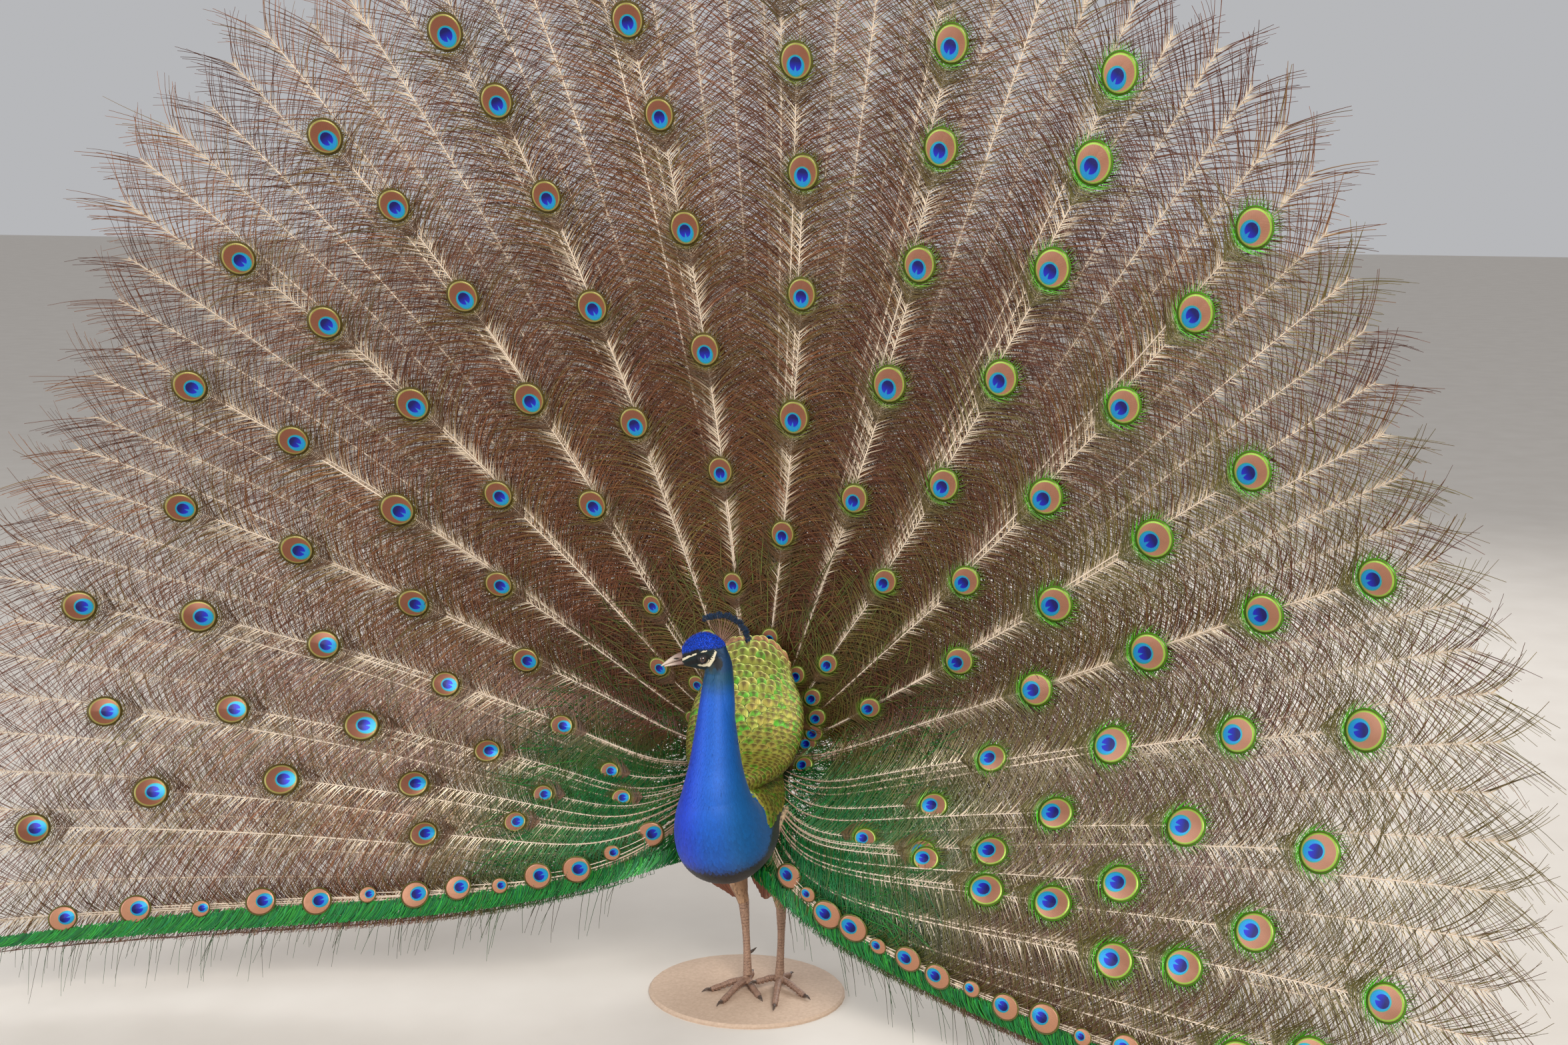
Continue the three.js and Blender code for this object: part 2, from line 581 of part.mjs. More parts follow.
/** Distance at which a feather along place u has its full length. */
function rim(u, length) {
  let r = length;
  for (let pass = 0; pass < 8; pass++) {
    let run = 0;
    let before = dish(1, fanTurn(u, 60));
    for (let k = 1; k <= 24; k++) {
      const here = dish((r * k) / 24, fanTurn(u, Math.max((r * k) / 24, 60)));
      run += here.distanceTo(before);
      before = here;
    }
    r *= length / run;
  }
  return r;
}

function gore(index) {
  const front = [];
  const back = [];
  for (const v of GORE_ROWS) {
    const rowF = [];
    const rowB = [];
    for (let k = 0; k <= GORE_CELLS; k++) {
      const place = index * GORE_CELLS + k;
      const u = place / (GORES * GORE_CELLS);
      const atSide = k === 0 ? GAP / 2 : k === GORE_CELLS ? -GAP / 2 : 0;
      const notch = place % 2 ? 0 : TIP_NOTCH;
      const r = lerp(TRAIN_INNER, rim(u, TRAIN_LENGTH) - notch, v);
      const edgeRow = GORE_ROWS.indexOf(v);
      const edge = place === 0 || place === GORES * GORE_CELLS;
      const drop = edge && edgeRow % 2 ? FRINGE_NOTCH : 0;
      const turn = fanTurn(u, r, drop) + (edge ? 0 : atSide / r);
      const thick = SHEET.rim + (SHEET.root - SHEET.rim) * Math.exp(-(r - TRAIN_INNER) / SHEET.over);
      const slope = (dishDepth(r + 1, turn) - dishDepth(r - 1, turn)) / 2;
      const tall = 1 / Math.sqrt(1 + slope ** 2);
      rowF.push(dish(r, turn, thick / 2 / tall));
      rowB.push(dish(r, turn, -thick / 2 / tall));
    }
    front.push(rowF);
    back.push(rowB);
  }
  return sheet(front, back);
}

/** Loft along the back: a mound of scale feathers that rises from the shoulders into the train. */
function mantle(grow = 0) {
  const rings = [];
  const steps = (MANTLE_STATIONS.length - 1) * 2;
  const at = (t) => new THREE.Vector3(0, along(MANTLE_STATIONS, 'y', t), along(MANTLE_STATIONS, 'z', t));
  for (let k = 0; k <= steps; k++) {
    const t = k / 2;
    const forward = at(Math.min(t + 0.05, steps / 2)).sub(at(Math.max(t - 0.05, 0))).normalize();
    const out = bodyAxis(new THREE.Vector3(0, -forward.z, forward.y));
    const across = bodyAxis(new THREE.Vector3(1, 0, 0));
    const size = (key) => along(MANTLE_STATIONS, key, t) + grow;
    const slip = k === 0 ? -grow : k === steps ? grow : 0;
    const centre = bodyPlace(at(t).addScaledVector(forward, slip));
    rings.push(ring(centre, across, out, size('half'), size('out'), size('in'), 18, 0.9));
  }
  return loft(rings);
}

const PAD_HALF = 17; // half thickness at its middle
const PAD_RINGS = [[0.15, 1], [0.55, 0.8], [0.85, 0.4], [1, 0.12]]; // shares of its radius and thickness

/** The pad under the skin of the rump that all the train's quills grow from: a lens on the dish. */
function quillPad(grow = 0) {
  const front = PAD_RINGS.map(([share, thick]) => padRing(share, thick * PAD_HALF + grow, grow));
  const back = PAD_RINGS.map(([share, thick]) => padRing(share, -thick * PAD_HALF - grow, grow)).reverse();
  return loft([...front, ...back]);
}

function padRing(share, offset, grow) {
  const points = [];
  const reach = (TRAIN_INNER - GAP + grow) * share;
  for (let k = 0; k < 16; k++) {
    const turn = (2 * Math.PI * k) / 16;
    const fromTop = Math.min(turn, 2 * Math.PI - turn);
    points.push(TRAIN_ROOT.clone()
      .add(new THREE.Vector3(reach * Math.sin(turn), 0, 0))
      .addScaledVector(trainUp, reach * Math.cos(turn))
      .addScaledVector(trainOut, dishDepth(TRAIN_INNER * share, fromTop) + offset));
  }
  return points;
}

const mantleCutter = toSolid(mantle(GAP));
part('mantle', cut(mantle(), bodyCutter, ...wingCutters), 0x9aa81f, 0.55);
part('train_root', cut(quillPad(), bodyCutter, mantleCutter, ...wingCutters), 0x3f7a35, 0.7);

const padCutter = toSolid(quillPad(GAP));
for (let index = 0; index < GORES; index++) {
  const name = `train_${String(index + 1).padStart(2, '0')}`;
  const colour = index === 0 || index === GORES - 1 ? 0x2f8f45 : 0x7d6442;
  part(name, cut(gore(index), bodyCutter, mantleCutter, padCutter, ...wingCutters), colour, 0.75);
}

// ---- tail ------------------------------------------------------------------------------------
/** The plain tail feathers, spread behind the train to carry it: one thin fan with notched tips. */
function tailFan() {
  const front = [];
  const back = [];
  for (const v of [0, 0.35, 0.8, 1]) {
    const rowF = [];
    const rowB = [];
    for (let k = 0; k <= TAIL.feathers * 2; k++) {
      const turn = lerp(-TAIL.spread, TAIL.spread, k / (TAIL.feathers * 2));
      const r = lerp(TAIL.inner, TAIL.length - (k % 2 ? 0 : 16), v);
      const lean = TAIL.behind * (0.55 + 0.45 * Math.cos(turn)) + TAIL.lean * 0.4 * r;
      const at = dish(r, turn, -lean - 10);
      rowF.push(at.clone().addScaledVector(trainOut, TAIL.thick / 2));
      rowB.push(at.clone().addScaledVector(trainOut, -TAIL.thick / 2));
    }
    front.push(rowF);
    back.push(rowB);
  }
  return sheet(front, back);
}
part('tail', cut(tailFan(), bodyCutter, padCutter), 0x6b5d4c, 0.8);

// ---- base ------------------------------------------------------------------------------------
/** The plate under the feet: an oval with an upright edge and a bevel, its top a gap below the toes. */
function basePlate() {
  const middle = new THREE.Vector3(BASE.x, BASE.y, 0);
  const outline = (inset, z) => Array.from({ length: BASE.sides }, (_, k) => {
    const turn = (2 * Math.PI * k) / BASE.sides;
    const x = (BASE.halfX - inset) * Math.cos(turn);
    const y = (BASE.halfY - inset) * Math.sin(turn);
    return new THREE.Vector3(x, y, z).add(middle);
  });
  const top = -GAP;
  return loft([outline(0, top - BASE.thick), outline(0, top - BASE.bevel), outline(BASE.bevel, top)]);
}
part('stand_base', basePlate(), 0xcdb9a4, 0.85);

// ---- put the origin on the floor under the middle of the bounding box --------------------------
const bounds = new THREE.Box3().setFromObject(model);
const middle = bounds.getCenter(new THREE.Vector3());
model.position.set(-middle.x, -middle.y, -bounds.min.z);
model.updateMatrixWorld(true);

export default model;
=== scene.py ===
"""Indian peacock in display, life size: the visual model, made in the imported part's frame, in metres."""

import bmesh
import bpy
import numpy as np
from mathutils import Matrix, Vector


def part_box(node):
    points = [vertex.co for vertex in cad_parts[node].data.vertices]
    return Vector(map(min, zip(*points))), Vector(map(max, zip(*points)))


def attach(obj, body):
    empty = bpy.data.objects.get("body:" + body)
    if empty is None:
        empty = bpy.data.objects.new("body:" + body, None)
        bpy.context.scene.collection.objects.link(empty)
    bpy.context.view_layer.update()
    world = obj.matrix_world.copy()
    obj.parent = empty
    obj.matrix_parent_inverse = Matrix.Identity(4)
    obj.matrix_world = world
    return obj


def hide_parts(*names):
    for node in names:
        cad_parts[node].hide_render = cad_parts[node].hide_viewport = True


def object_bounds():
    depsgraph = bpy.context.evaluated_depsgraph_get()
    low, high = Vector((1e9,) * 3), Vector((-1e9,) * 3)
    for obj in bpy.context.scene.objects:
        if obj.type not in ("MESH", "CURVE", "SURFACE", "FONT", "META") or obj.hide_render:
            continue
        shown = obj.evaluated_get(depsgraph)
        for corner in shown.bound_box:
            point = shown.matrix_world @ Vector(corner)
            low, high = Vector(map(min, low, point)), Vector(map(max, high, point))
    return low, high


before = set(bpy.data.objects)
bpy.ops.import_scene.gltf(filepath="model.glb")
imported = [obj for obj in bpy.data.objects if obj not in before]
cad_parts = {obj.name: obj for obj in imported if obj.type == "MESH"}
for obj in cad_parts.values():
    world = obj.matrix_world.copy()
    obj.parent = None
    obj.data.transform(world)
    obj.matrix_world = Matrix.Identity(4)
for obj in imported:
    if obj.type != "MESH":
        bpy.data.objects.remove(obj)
cad_low, cad_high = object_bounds()
rng = np.random.default_rng(11)

# ---- Where the bird stands ---------------------------------------------------------------------
# The bird's own floor grid has its origin between the feet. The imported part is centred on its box,
# so every place on that grid is moved by SHIFT, which the two eyes of the part give.
EYE_MID = np.array([-0.0674, -0.1623, 0.6905])
FLOOR_Z = cad_low[2]
eye_corners = [np.array(corner) for name in ("eye_left", "eye_right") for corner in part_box(name)]
SHIFT = np.mean(eye_corners, axis=0) - EYE_MID
FOOT_LEVEL = SHIFT[2] + 0.0002

# The view: a normal lens a little above the bird, looking slightly down from its left front.
CAMERA_AT = np.array([1.1502, -3.5903, 1.600])
CAMERA_HEADING = 0.3003
CAMERA_PITCH = 0.1798
camera = bpy.data.objects.new("camera", bpy.data.cameras.new("camera"))
camera.data.lens = 47.14
camera.data.sensor_width = 36
camera.location = CAMERA_AT + SHIFT
camera.rotation_euler = (np.pi / 2 - CAMERA_PITCH, 0, CAMERA_HEADING)
bpy.context.scene.collection.objects.link(camera)
bpy.context.scene.camera = camera
bpy.context.scene.view_settings.view_transform = "Standard"


# ---- Skin --------------------------------------------------------------------------------------
# One closed skin for the head, neck, trunk, upper arms and thighs, a little inside the plumage. It is
# lofted from the body's measures and remeshed, so that no seam shows. The face is bare, with lids.
def unit(v):
    """Vectors divided by their length."""
    return v / np.maximum(np.linalg.norm(v, axis=-1, keepdims=True), 1e-12)


def smooth(x):
    """0 below 0, 1 above 1, and the cubic 3x^2 - 2x^3 between."""
    x = np.clip(x, 0, 1)
    return x * x * (3 - 2 * x)


def lerp(a, b, share):
    """The value that lies `share` of the way from a to b."""
    return a + (b - a) * share


def srgb(red, green, blue):
    """Linear colour from the usual 0 to 255 values, by the power 2.2."""
    return (np.array([red, green, blue]) / 255) ** 2.2


def between(table, t):
    """Row of a table of stations at t stations along: the Catmull-Rom cubic through four rows."""
    last = len(table) - 1
    first = np.clip(np.floor(t).astype(int), 0, last - 1)
    u = (t - first)[..., None]
    a, b, c, d = (table[np.clip(first + k, 0, last)] for k in (-1, 0, 1, 2))
    return b + 0.5 * u * (c - a + u * (2 * a - 5 * b + 4 * c - d + u * (3 * (b - c) + d - a)))


BODY_TURN = np.radians(5.7)
BODY_AT = np.array([-0.056, 0, 0])
# Trunk and neck from the tail root to the head: y, z, half width, reach to the back, to the belly.
BODY = np.array([
    [212, 446, 34, 24, 28],
    [168, 398, 60, 46, 56],
    [104, 356, 80, 68, 82],
    [22, 338, 91, 84, 92],
    [-62, 336, 92, 92, 93],
    [-128, 352, 87, 84, 98],
    [-166, 396, 77, 66, 90],
    [-176, 444, 61, 57, 72],
    [-175, 494, 48, 48, 54],
    [-171, 548, 39, 40, 43],
    [-166, 602, 31, 32, 34],
    [-161, 650, 24.5, 24, 25],
    [-158, 684, 19, 18, 17],
]) / 1000
BODY_END = len(BODY) - 1.0
BODY_SQUARE = 0.92


def turned(v):
    """Vectors of the body's own axes turned into the row's, about the upright axis."""
    c, s = np.cos(BODY_TURN), np.sin(BODY_TURN)
    return np.stack([c * v[..., 0] - s * v[..., 1], s * v[..., 0] + c * v[..., 1], v[..., 2]], -1)


def body_place(x, y, z):
    """Place from distances along the body's own axes: to its left, backward and up."""
    return turned(np.stack([x, y, z], -1)) + BODY_AT + SHIFT


def body_axes(places):
    """Distances along the body's own axes, the reverse of body_place."""
    d = places - BODY_AT - SHIFT
    c, s = np.cos(BODY_TURN), np.sin(BODY_TURN)
    return c * d[..., 0] + s * d[..., 1], c * d[..., 1] - s * d[..., 0], d[..., 2]


def fuller(x, power=BODY_SQUARE):
    """A cosine or sine raised to a power below 1, its sign kept, for sections fuller than an ellipse."""
    return np.sign(x) * np.abs(x) ** power


def trunk(t, turn, grow=0.0):
    """Point of trunk or neck: t stations along, `turn` round from the bird's left over the back."""
    y, z, half, back, belly = np.moveaxis(between(BODY, t), -1, 0)
    ahead = between(BODY, np.clip(t + 0.02, 0, BODY_END))[..., :2]
    run = unit(ahead - between(BODY, np.clip(t - 0.02, 0, BODY_END))[..., :2])
    lift = fuller(np.sin(turn)) * (np.where(np.sin(turn) > 0, back, belly) + grow)
    across = fuller(np.cos(turn)) * (half + grow)
    return body_place(across, y + lift * run[..., 1], z - lift * run[..., 0])


HEAD_HEADING = BODY_TURN - np.radians(90 - 17.8)
HEAD_FORWARD = np.array([np.sin(HEAD_HEADING), -np.cos(HEAD_HEADING), 0])
HEAD_LEFT = np.array([-HEAD_FORWARD[1], HEAD_FORWARD[0], 0])
UP = np.array([0, 0, 1.0])
# Head from the nape to the base of the bill: forward, top, underside, half width.
HEAD = np.array([
    [-50, -6, -24, 9],
    [-47, 10, -33, 16],
    [-38, 30, -35, 20.5],
    [-20, 42, -29, 20.5],
    [-4, 46, -24, 19],
    [12, 42, -20.5, 16],
    [26, 33, -17, 12.5],
    [37, 19, -13, 8.8],
]) / 1000
HEAD_END = len(HEAD) - 1.0


def head_place(forward, left, up):
    """Place from distances forward, to the bird's left and up from the middle between the eyes."""
    forward, left, up = np.broadcast_arrays(forward, left, up)
    return (EYE_MID + SHIFT + forward[..., None] * HEAD_FORWARD
            + left[..., None] * HEAD_LEFT + up[..., None] * UP)


def head_axes(places):
    """Distances forward, left and up from the middle between the eyes."""
    d = places - EYE_MID - SHIFT
    return d @ HEAD_FORWARD, d @ HEAD_LEFT, d[..., 2]


def face_axes(places):
    """The same three distances in millimetres."""
    return [v * 1000 for v in head_axes(places)]


def head_shell(t, turn, grow=0.0):
    """Point of the head: t stations forward from the nape, `turn` round from its left over the crown."""
    forward, top, low, half = np.moveaxis(between(HEAD, t), -1, 0)
    middle = low + (top - low) * 0.45
    reach = np.where(np.sin(turn) > 0, top - middle, middle - low) + grow
    return head_place(forward, np.cos(turn) * (half + grow), middle + np.sin(turn) * reach)


def path_point(path, share):
    """Point of a smooth curve through the path's points, `share` of the way along it."""
    padded = np.concatenate([2 * path[:1] - path[1:2], path, 2 * path[-1:] - path[-2:-1]])
    return between(padded, 1 + np.clip(share, 0, 1) * (len(path) - 1))


def tube_point(path, radii, share, turn, grow=0.0, flat=1.0, guide=(0, 0, 1.0)):
    """Point of a tube: the path's point plus the radius round it, times `flat` toward its guide."""
    run = unit(path_point(path, share + 0.01) - path_point(path, share - 0.01))
    across = unit(np.cross(np.array(guide), run))
    upright = np.cross(run, across)
    radius = np.interp(share, np.linspace(0, 1, len(radii)), radii) + grow
    return (path_point(path, share) + (radius * np.cos(turn))[..., None] * across
            + (radius * flat * np.sin(turn))[..., None] * upright)


# Where the neck runs up into the head, behind the crown and under the cheeks: forward, left, up, radius.
NAPE = np.array([
    [-29, 1, 16, 16],
    [-32, 3, -10, 22],
    [-31.5, 7.5, -36, 25],
    [-29.5, 12, -63, 28],
    [-27, 15, -88, 31.5],
    [-24, 17.5, -115, 34],
]) / 1000
CHEEK = np.array([
    [-24, 0, 8, 15],
    [-25, 1, -10, 18.8],
    [-26, 5, -28, 22],
    [-26.3, 9.5, -42, 25.2],
    [-25.2, 12, -63, 28.6],
]) / 1000


def upper_neck(path):
    """Surface round one of those paths, seen from above: t down along it, `turn` round from its left."""
    def surface(t, turn, grow=0.0):
        forward, left, up, radius = np.moveaxis(path_point(path, t), -1, 0)
        radius = radius + grow
        return head_place(forward - radius * np.sin(turn), left + radius * np.cos(turn), up)

    return surface


nape, cheek = upper_neck(NAPE), upper_neck(CHEEK)


def spot(x, y, z):
    """Place on the bird's floor grid, from millimetres."""
    return np.array([x, y, z]) / 1000 + SHIFT


ANKLES = {"right": spot(-44, 2, 163), "left": spot(31, 6, 161)}
FEET = {"right": spot(-33, -8, 21), "left": spot(27, 8, 24)}
HIPS = {"right": spot(-84, 26, 300), "left": spot(2, 34, 300)}
SIDES = {"left": 1, "right": -1}
THIGH_RADII = np.array([44, 36, 26, 17.5, 12.5, 11]) / 1000


FRONT = (0, -1.0, 0)


def thigh(side):
    """Surface of a feathered leg from hip to ankle, as a function of share, turn and grow."""
    hip, ankle = HIPS[side], ANKLES[side]
    knee = lerp(hip, ankle, 0.45) + [0, -0.006, 0]
    shin = lerp(hip, ankle, 0.78) + [0, -0.003, 0]
    path = np.array([hip, knee, shin, ankle + [0, 0, 0.001]])
    return lambda t, turn, grow=0.0: tube_point(path, THIGH_RADII, t, turn, grow, 1.15, FRONT)


TARSUS_RADII = np.array([10.4, 8.6, 7, 6.8, 7.4, 9]) / 1000
TOE_RADII = np.array([8.0, 6.3, 6.7, 5.5, 6.1, 4.6]) / 1000
# Toes: the place of each tip and how high the toe arches before it.
TOES = {
    "right": {"outer": ((-92, -62, 4.4), 9), "middle": ((-52, -112, 4.4), 12),
              "inner": ((10, -66, 3.4), -4), "hind": ((-40, 40, 4.2), 4)},
    "left": {"inner": ((-8, -36, 19.5), 9), "middle": ((50, -98, 4.4), 12),
             "outer": ((92, -38, 4.4), 9), "hind": ((34, 52, 4.2), 4)},
}


def tarsus(side):
    """Surface of a bare shank from ankle to foot."""
    ankle, foot = ANKLES[side], FEET[side]
    path = np.array([ankle + [0, 0, 0.004], lerp(ankle, foot, 0.5) + [0, 0.004, 0], foot])
    return lambda t, turn, grow=0.0: tube_point(path, TARSUS_RADII, t, turn, grow, 1.1, FRONT)


def toe_path(side, name):
    """Middle line of a toe: out from the foot over a low arch to the root of its claw."""
    tip, lift = TOES[side][name]
    root, tip = FEET[side] + [0, 0, -0.010], spot(*tip)
    arch = [lerp(root, tip, t) + [0, 0, rise * lift / 1000] for t, rise in ((0.35, 0.4), (0.72, 0.15))]
    return np.array([root, *arch, tip])


def toe(side, name):
    """Surface of one toe, flat where it rests on the ground."""
    path = toe_path(side, name)

    def surface(t, turn, grow=0.0):
        points = tube_point(path, TOE_RADII, t, turn, grow, 0.92)
        points[..., 2] = np.maximum(points[..., 2], FOOT_LEVEL)
        return points

    return surface


# Folded upper wing on the flank: y, z, distance out, half depth, half height.
WING = np.array([
    [-52, 322, 85, 9, 34],
    [-10, 316, 89, 13, 52],
    [52, 300, 86, 13, 56],
    [112, 282, 76, 9, 50],
]) / 1000
WING_LEAN = 0.22


def wing(side):
    """Surface of one folded wing: an upright pillow along its stations, leaning in at the top."""
    s = SIDES[side]

    def surface(t, turn, grow=0.0):
        y, z, out, deep, high = np.moveaxis(between(WING, t), -1, 0)
        rounded = np.sqrt(np.clip(1 - ((t - 1.5) / 1.75) ** 2, 0.02, 1))
        deep, high = deep * rounded, high * (0.4 + 0.6 * rounded)
        up = turned(unit(np.array([WING_LEAN * s, 0.3, 1])))
        across = turned(unit(np.array([1, 0, -WING_LEAN * s])))
        centre = body_place(s * out, y, z)
        return (centre + (np.cos(turn) * (deep + grow))[..., None] * across
                + (np.sin(turn) * (high + grow))[..., None] * up)

    return surface


def grid_faces(count, rows, columns, closed=False):
    """Quads of `count` equal grids of points, each rows by columns; `closed` joins last column to first."""
    wide = columns if closed else columns - 1
    i, j = np.meshgrid(np.arange(rows - 1), np.arange(wide), indexing="ij")
    a = (i * columns + j).ravel()
    b = (i * columns + (j + 1) % columns).ravel()
    quads = np.stack([a, b, b + columns, a + columns], -1)
    return (np.arange(count)[:, None, None] * rows * columns + quads).reshape(-1, 4)


def set_tint(mesh, tint):
    """Writes a colour per point."""
    rgba = np.concatenate([tint, np.ones((len(tint), 1))], 1).astype(np.float32)
    mesh.attributes.new("Tint", "FLOAT_COLOR", "POINT").data.foreach_set("color", rgba.ravel())


def put_mesh(name, points, faces, tint=None, patch=None, maps=(), values=()):
    """Object from points, faces, a colour and an unwrap per point, and more maps and values per point."""
    faces = faces if isinstance(faces, list) else [faces]
    corners = np.concatenate([f.ravel() for f in faces]).astype(np.int32)
    sizes = np.concatenate([np.full(len(f), f.shape[1]) for f in faces])
    mesh = bpy.data.meshes.new(name)
    mesh.vertices.add(len(points))
    mesh.vertices.foreach_set("co", np.asarray(points, np.float32).ravel())
    mesh.loops.add(len(corners))
    mesh.loops.foreach_set("vertex_index", corners)
    mesh.polygons.add(len(sizes))
    mesh.polygons.foreach_set("loop_start", (np.cumsum(sizes) - sizes).astype(np.int32))
    mesh.update(calc_edges=True)
    mesh.shade_smooth()
    if tint is not None:
        set_tint(mesh, tint)
    for label, uv in maps if patch is None else [("OFBake", patch), *maps]:
        layer = mesh.uv_layers.new(name=label)
        layer.data.foreach_set("uv", uv[corners].astype(np.float32).ravel())
    for label, value in values:
        layer = mesh.attributes.new(label, "FLOAT", "POINT")
        layer.data.foreach_set("value", value.astype(np.float32))
    thing = bpy.data.objects.new(name, mesh)
    bpy.context.scene.collection.objects.link(thing)
    return thing


def dress(thing, finish, nodes=()):
    """Gives a piece its finish and slot, lets it ride on the part and stand for those of its nodes."""
    thing.data.materials.append(finish.material)
    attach(thing, "root")
    if nodes:
        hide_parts(*nodes)


def tube_grid(end, rings, sides, round_to=2 * np.pi):
    """Stations from 0 to `end` and turns once round, as two grids of rings by sides."""
    return np.meshgrid(np.linspace(0, end, rings), np.linspace(0, round_to, sides, False), indexing="ij")


def capped(points, rings, sides):
    """Points and faces of a tube of rings, closed by a fan at each end."""
    points = points.reshape(-1, 3)
    middles = np.stack([points[:sides].mean(0), points[-sides:].mean(0)])
    k = np.arange(sides)
    start = np.stack([np.full(sides, len(points)), (k + 1) % sides, k], -1)
    stop = np.stack([np.full(sides, len(points) + 1), k, (k + 1) % sides], -1)
    stop[:, 1:] += len(points) - sides
    return np.concatenate([points, middles]), [grid_faces(1, rings, sides, True), start, stop]


def closed_loft(surface, end, rings, sides):
    """Points and faces of a surface from 0 to `end`, closed at both ends."""
    return capped(surface(*tube_grid(end, rings, sides)), rings, sides)


def tube_patch(rings, sides):
    """Unwrap of a closed loft: once round it across, its whole length up."""
    t, turn = tube_grid(1, rings, sides, 1)
    return np.concatenate([np.stack([turn, t], -1).reshape(-1, 2), [[0.5, 0], [0.5, 1]]])


def face_out(thing):
    """Turns a closed mesh's faces outward."""
    work = bmesh.new()
    work.from_mesh(thing.data)
    bmesh.ops.recalc_face_normals(work, faces=work.faces)
    work.to_mesh(thing.data)
    work.free()


COAT_DEPTH = 0.003
HEAD_COAT = 0.0012
SCALE_DEPTH = 0.0006
SKIN_VOXEL = 0.003
flesh = [
    (lambda t, turn: trunk(t, turn, -COAT_DEPTH), BODY_END, 97, 48),
    (lambda t, turn: head_shell(t, turn, -HEAD_COAT), HEAD_END, 36, 40),
    (lambda t, turn: nape(t, turn, -HEAD_COAT), 1.0, 36, 40),
    (lambda t, turn: cheek(t, turn, -HEAD_COAT), 1.0, 36, 40),
]
for side in SIDES:
    flesh.append((lambda t, turn, s=thigh(side): s(t, turn, -COAT_DEPTH), 1.0, 30, 28))
    flesh.append((lambda t, turn, s=wing(side): s(t, turn, -0.004), 3.0, 30, 28))
    flesh.append((lambda t, turn, s=tarsus(side): s(t, turn, -SCALE_DEPTH), 1.0, 30, 20))
    for name in TOES[side]:
        flesh.append((lambda t, turn, s=toe(side, name): s(t, turn, -SCALE_DEPTH), 1.0, 24, 16))
points, faces, start = [], [], 0
for surface, end, rings, sides in flesh:
    loft_points, loft_faces = closed_loft(surface, end, rings, sides)
    points.append(loft_points)
    faces += [f + start for f in loft_faces]
    start += len(loft_points)
rough = put_mesh("rough_skin", np.concatenate(points), faces)
face_out(rough)
remesh = rough.modifiers.new("remesh", "REMESH")
remesh.mode = "VOXEL"
remesh.voxel_size = SKIN_VOXEL
relax = rough.modifiers.new("relax", "SMOOTH")
relax.iterations = 4
skin_mesh = bpy.data.meshes.new_from_object(rough.evaluated_get(bpy.context.evaluated_depsgraph_get()))
bpy.data.objects.remove(rough)
work = bmesh.new()
work.from_mesh(skin_mesh)
HEAD_FROM = 0.656
for _ in range(2):
    low = HEAD_FROM + SHIFT[2]
    fine = [e for e in work.edges if min(v.co.z for v in e.verts) > low]
    bmesh.ops.subdivide_edges(work, edges=fine, cuts=1, use_grid_fill=True, smooth=0.3)
bmesh.ops.triangulate(work, faces=[f for f in work.faces if len(f.verts) > 4])
work.to_mesh(skin_mesh)
work.free()
skin = bpy.data.objects.new("skin", skin_mesh)
bpy.context.scene.collection.objects.link(skin)
skin_mesh.shade_smooth()
places = np.zeros(len(skin_mesh.vertices) * 3, np.float32)
skin_mesh.vertices.foreach_get("co", places)
places = places.reshape(-1, 3).astype(float)

EYE_SIDE = 0.0162
EYE_RADIUS = 0.0082
LID_OPEN = 0.0064
LID_PROUD = 0.0008


def lids(places):
    """Moves the skin out to a rim round each eye, and behind the eyeball inside that rim."""
    forward, left, up = head_axes(places)
    away = np.hypot(forward, up * 1.18)
    out = np.abs(left)
    facing = (out > 0.008) & (away < 0.014)
    rim = EYE_SIDE + np.sqrt(EYE_RADIUS**2 - LID_OPEN**2) + LID_PROUD
    raised = lerp(rim, out, smooth((away - LID_OPEN) / 0.0066))
    wanted = np.where(away < LID_OPEN - 0.0004, EYE_SIDE - 0.004, raised)
    move = np.where(facing, wanted - out, 0) * np.sign(left)
    return places + move[:, None] * HEAD_LEFT


places = lids(places)


def blob(x, y, at, size, soft=0.35):
    """1 inside an ellipse, 0 outside, with an edge `soft` of its size wide."""
    d = np.hypot((x - at[0]) / size[0], (y - at[1]) / size[1])
    return smooth((1 - d) / soft + 0.5)


def stroke(x, y, start, end, wide, soft=0.3):
    """1 within `wide` of the line between two points, 0 outside, tapering a little to its ends."""
    start, end = np.array(start), np.array(end)
    run = end - start
    share = np.clip(((x - start[0]) * run[0] + (y - start[1]) * run[1]) / (run @ run), 0, 1)
    d = np.hypot(x - start[0] - share * run[0], y - start[1] - share * run[1])
    return smooth((wide - d) / (soft * wide) + 0.5)


# Each line of bare white skin, in millimetres from the eye: start, end, half width.
WHITE_LINES = [
    ((37, -3), (26, 4), 2.3), ((26, 4), (13, 9.5), 2.0), ((4, 13.5), (-6, 15.5), 1.7),
    ((10, -12.6), (-1, -13), 2.5), ((-1, -13), (-10, -10), 3.5),
    ((-10, -10), (-17, 1), 4.6), ((-17, 1), (-21.5, 12.5), 3.6),
]


def bare_white(places):
    """Where the face is bare white skin: a stripe before the eye, one above it and a crescent below."""
    forward, left, up = face_axes(places)
    return np.max([stroke(forward, up, *line) for line in WHITE_LINES], axis=0) * (np.abs(left) > 5)


def bare_black(places):
    """Where the face is black: round the eye, before it, and a patch behind the white crescent."""
    forward, left, up = face_axes(places)
    marks = [blob(forward, up, (0, 0), (15, 11)), blob(forward, up, (-27, -6), (8.5, 11)),
             stroke(forward, up, (34, 4), (10, 15), 3), stroke(forward, up, (30, -10), (8, -3), 4)]
    return np.max(marks, axis=0) * (np.abs(left) > 5)


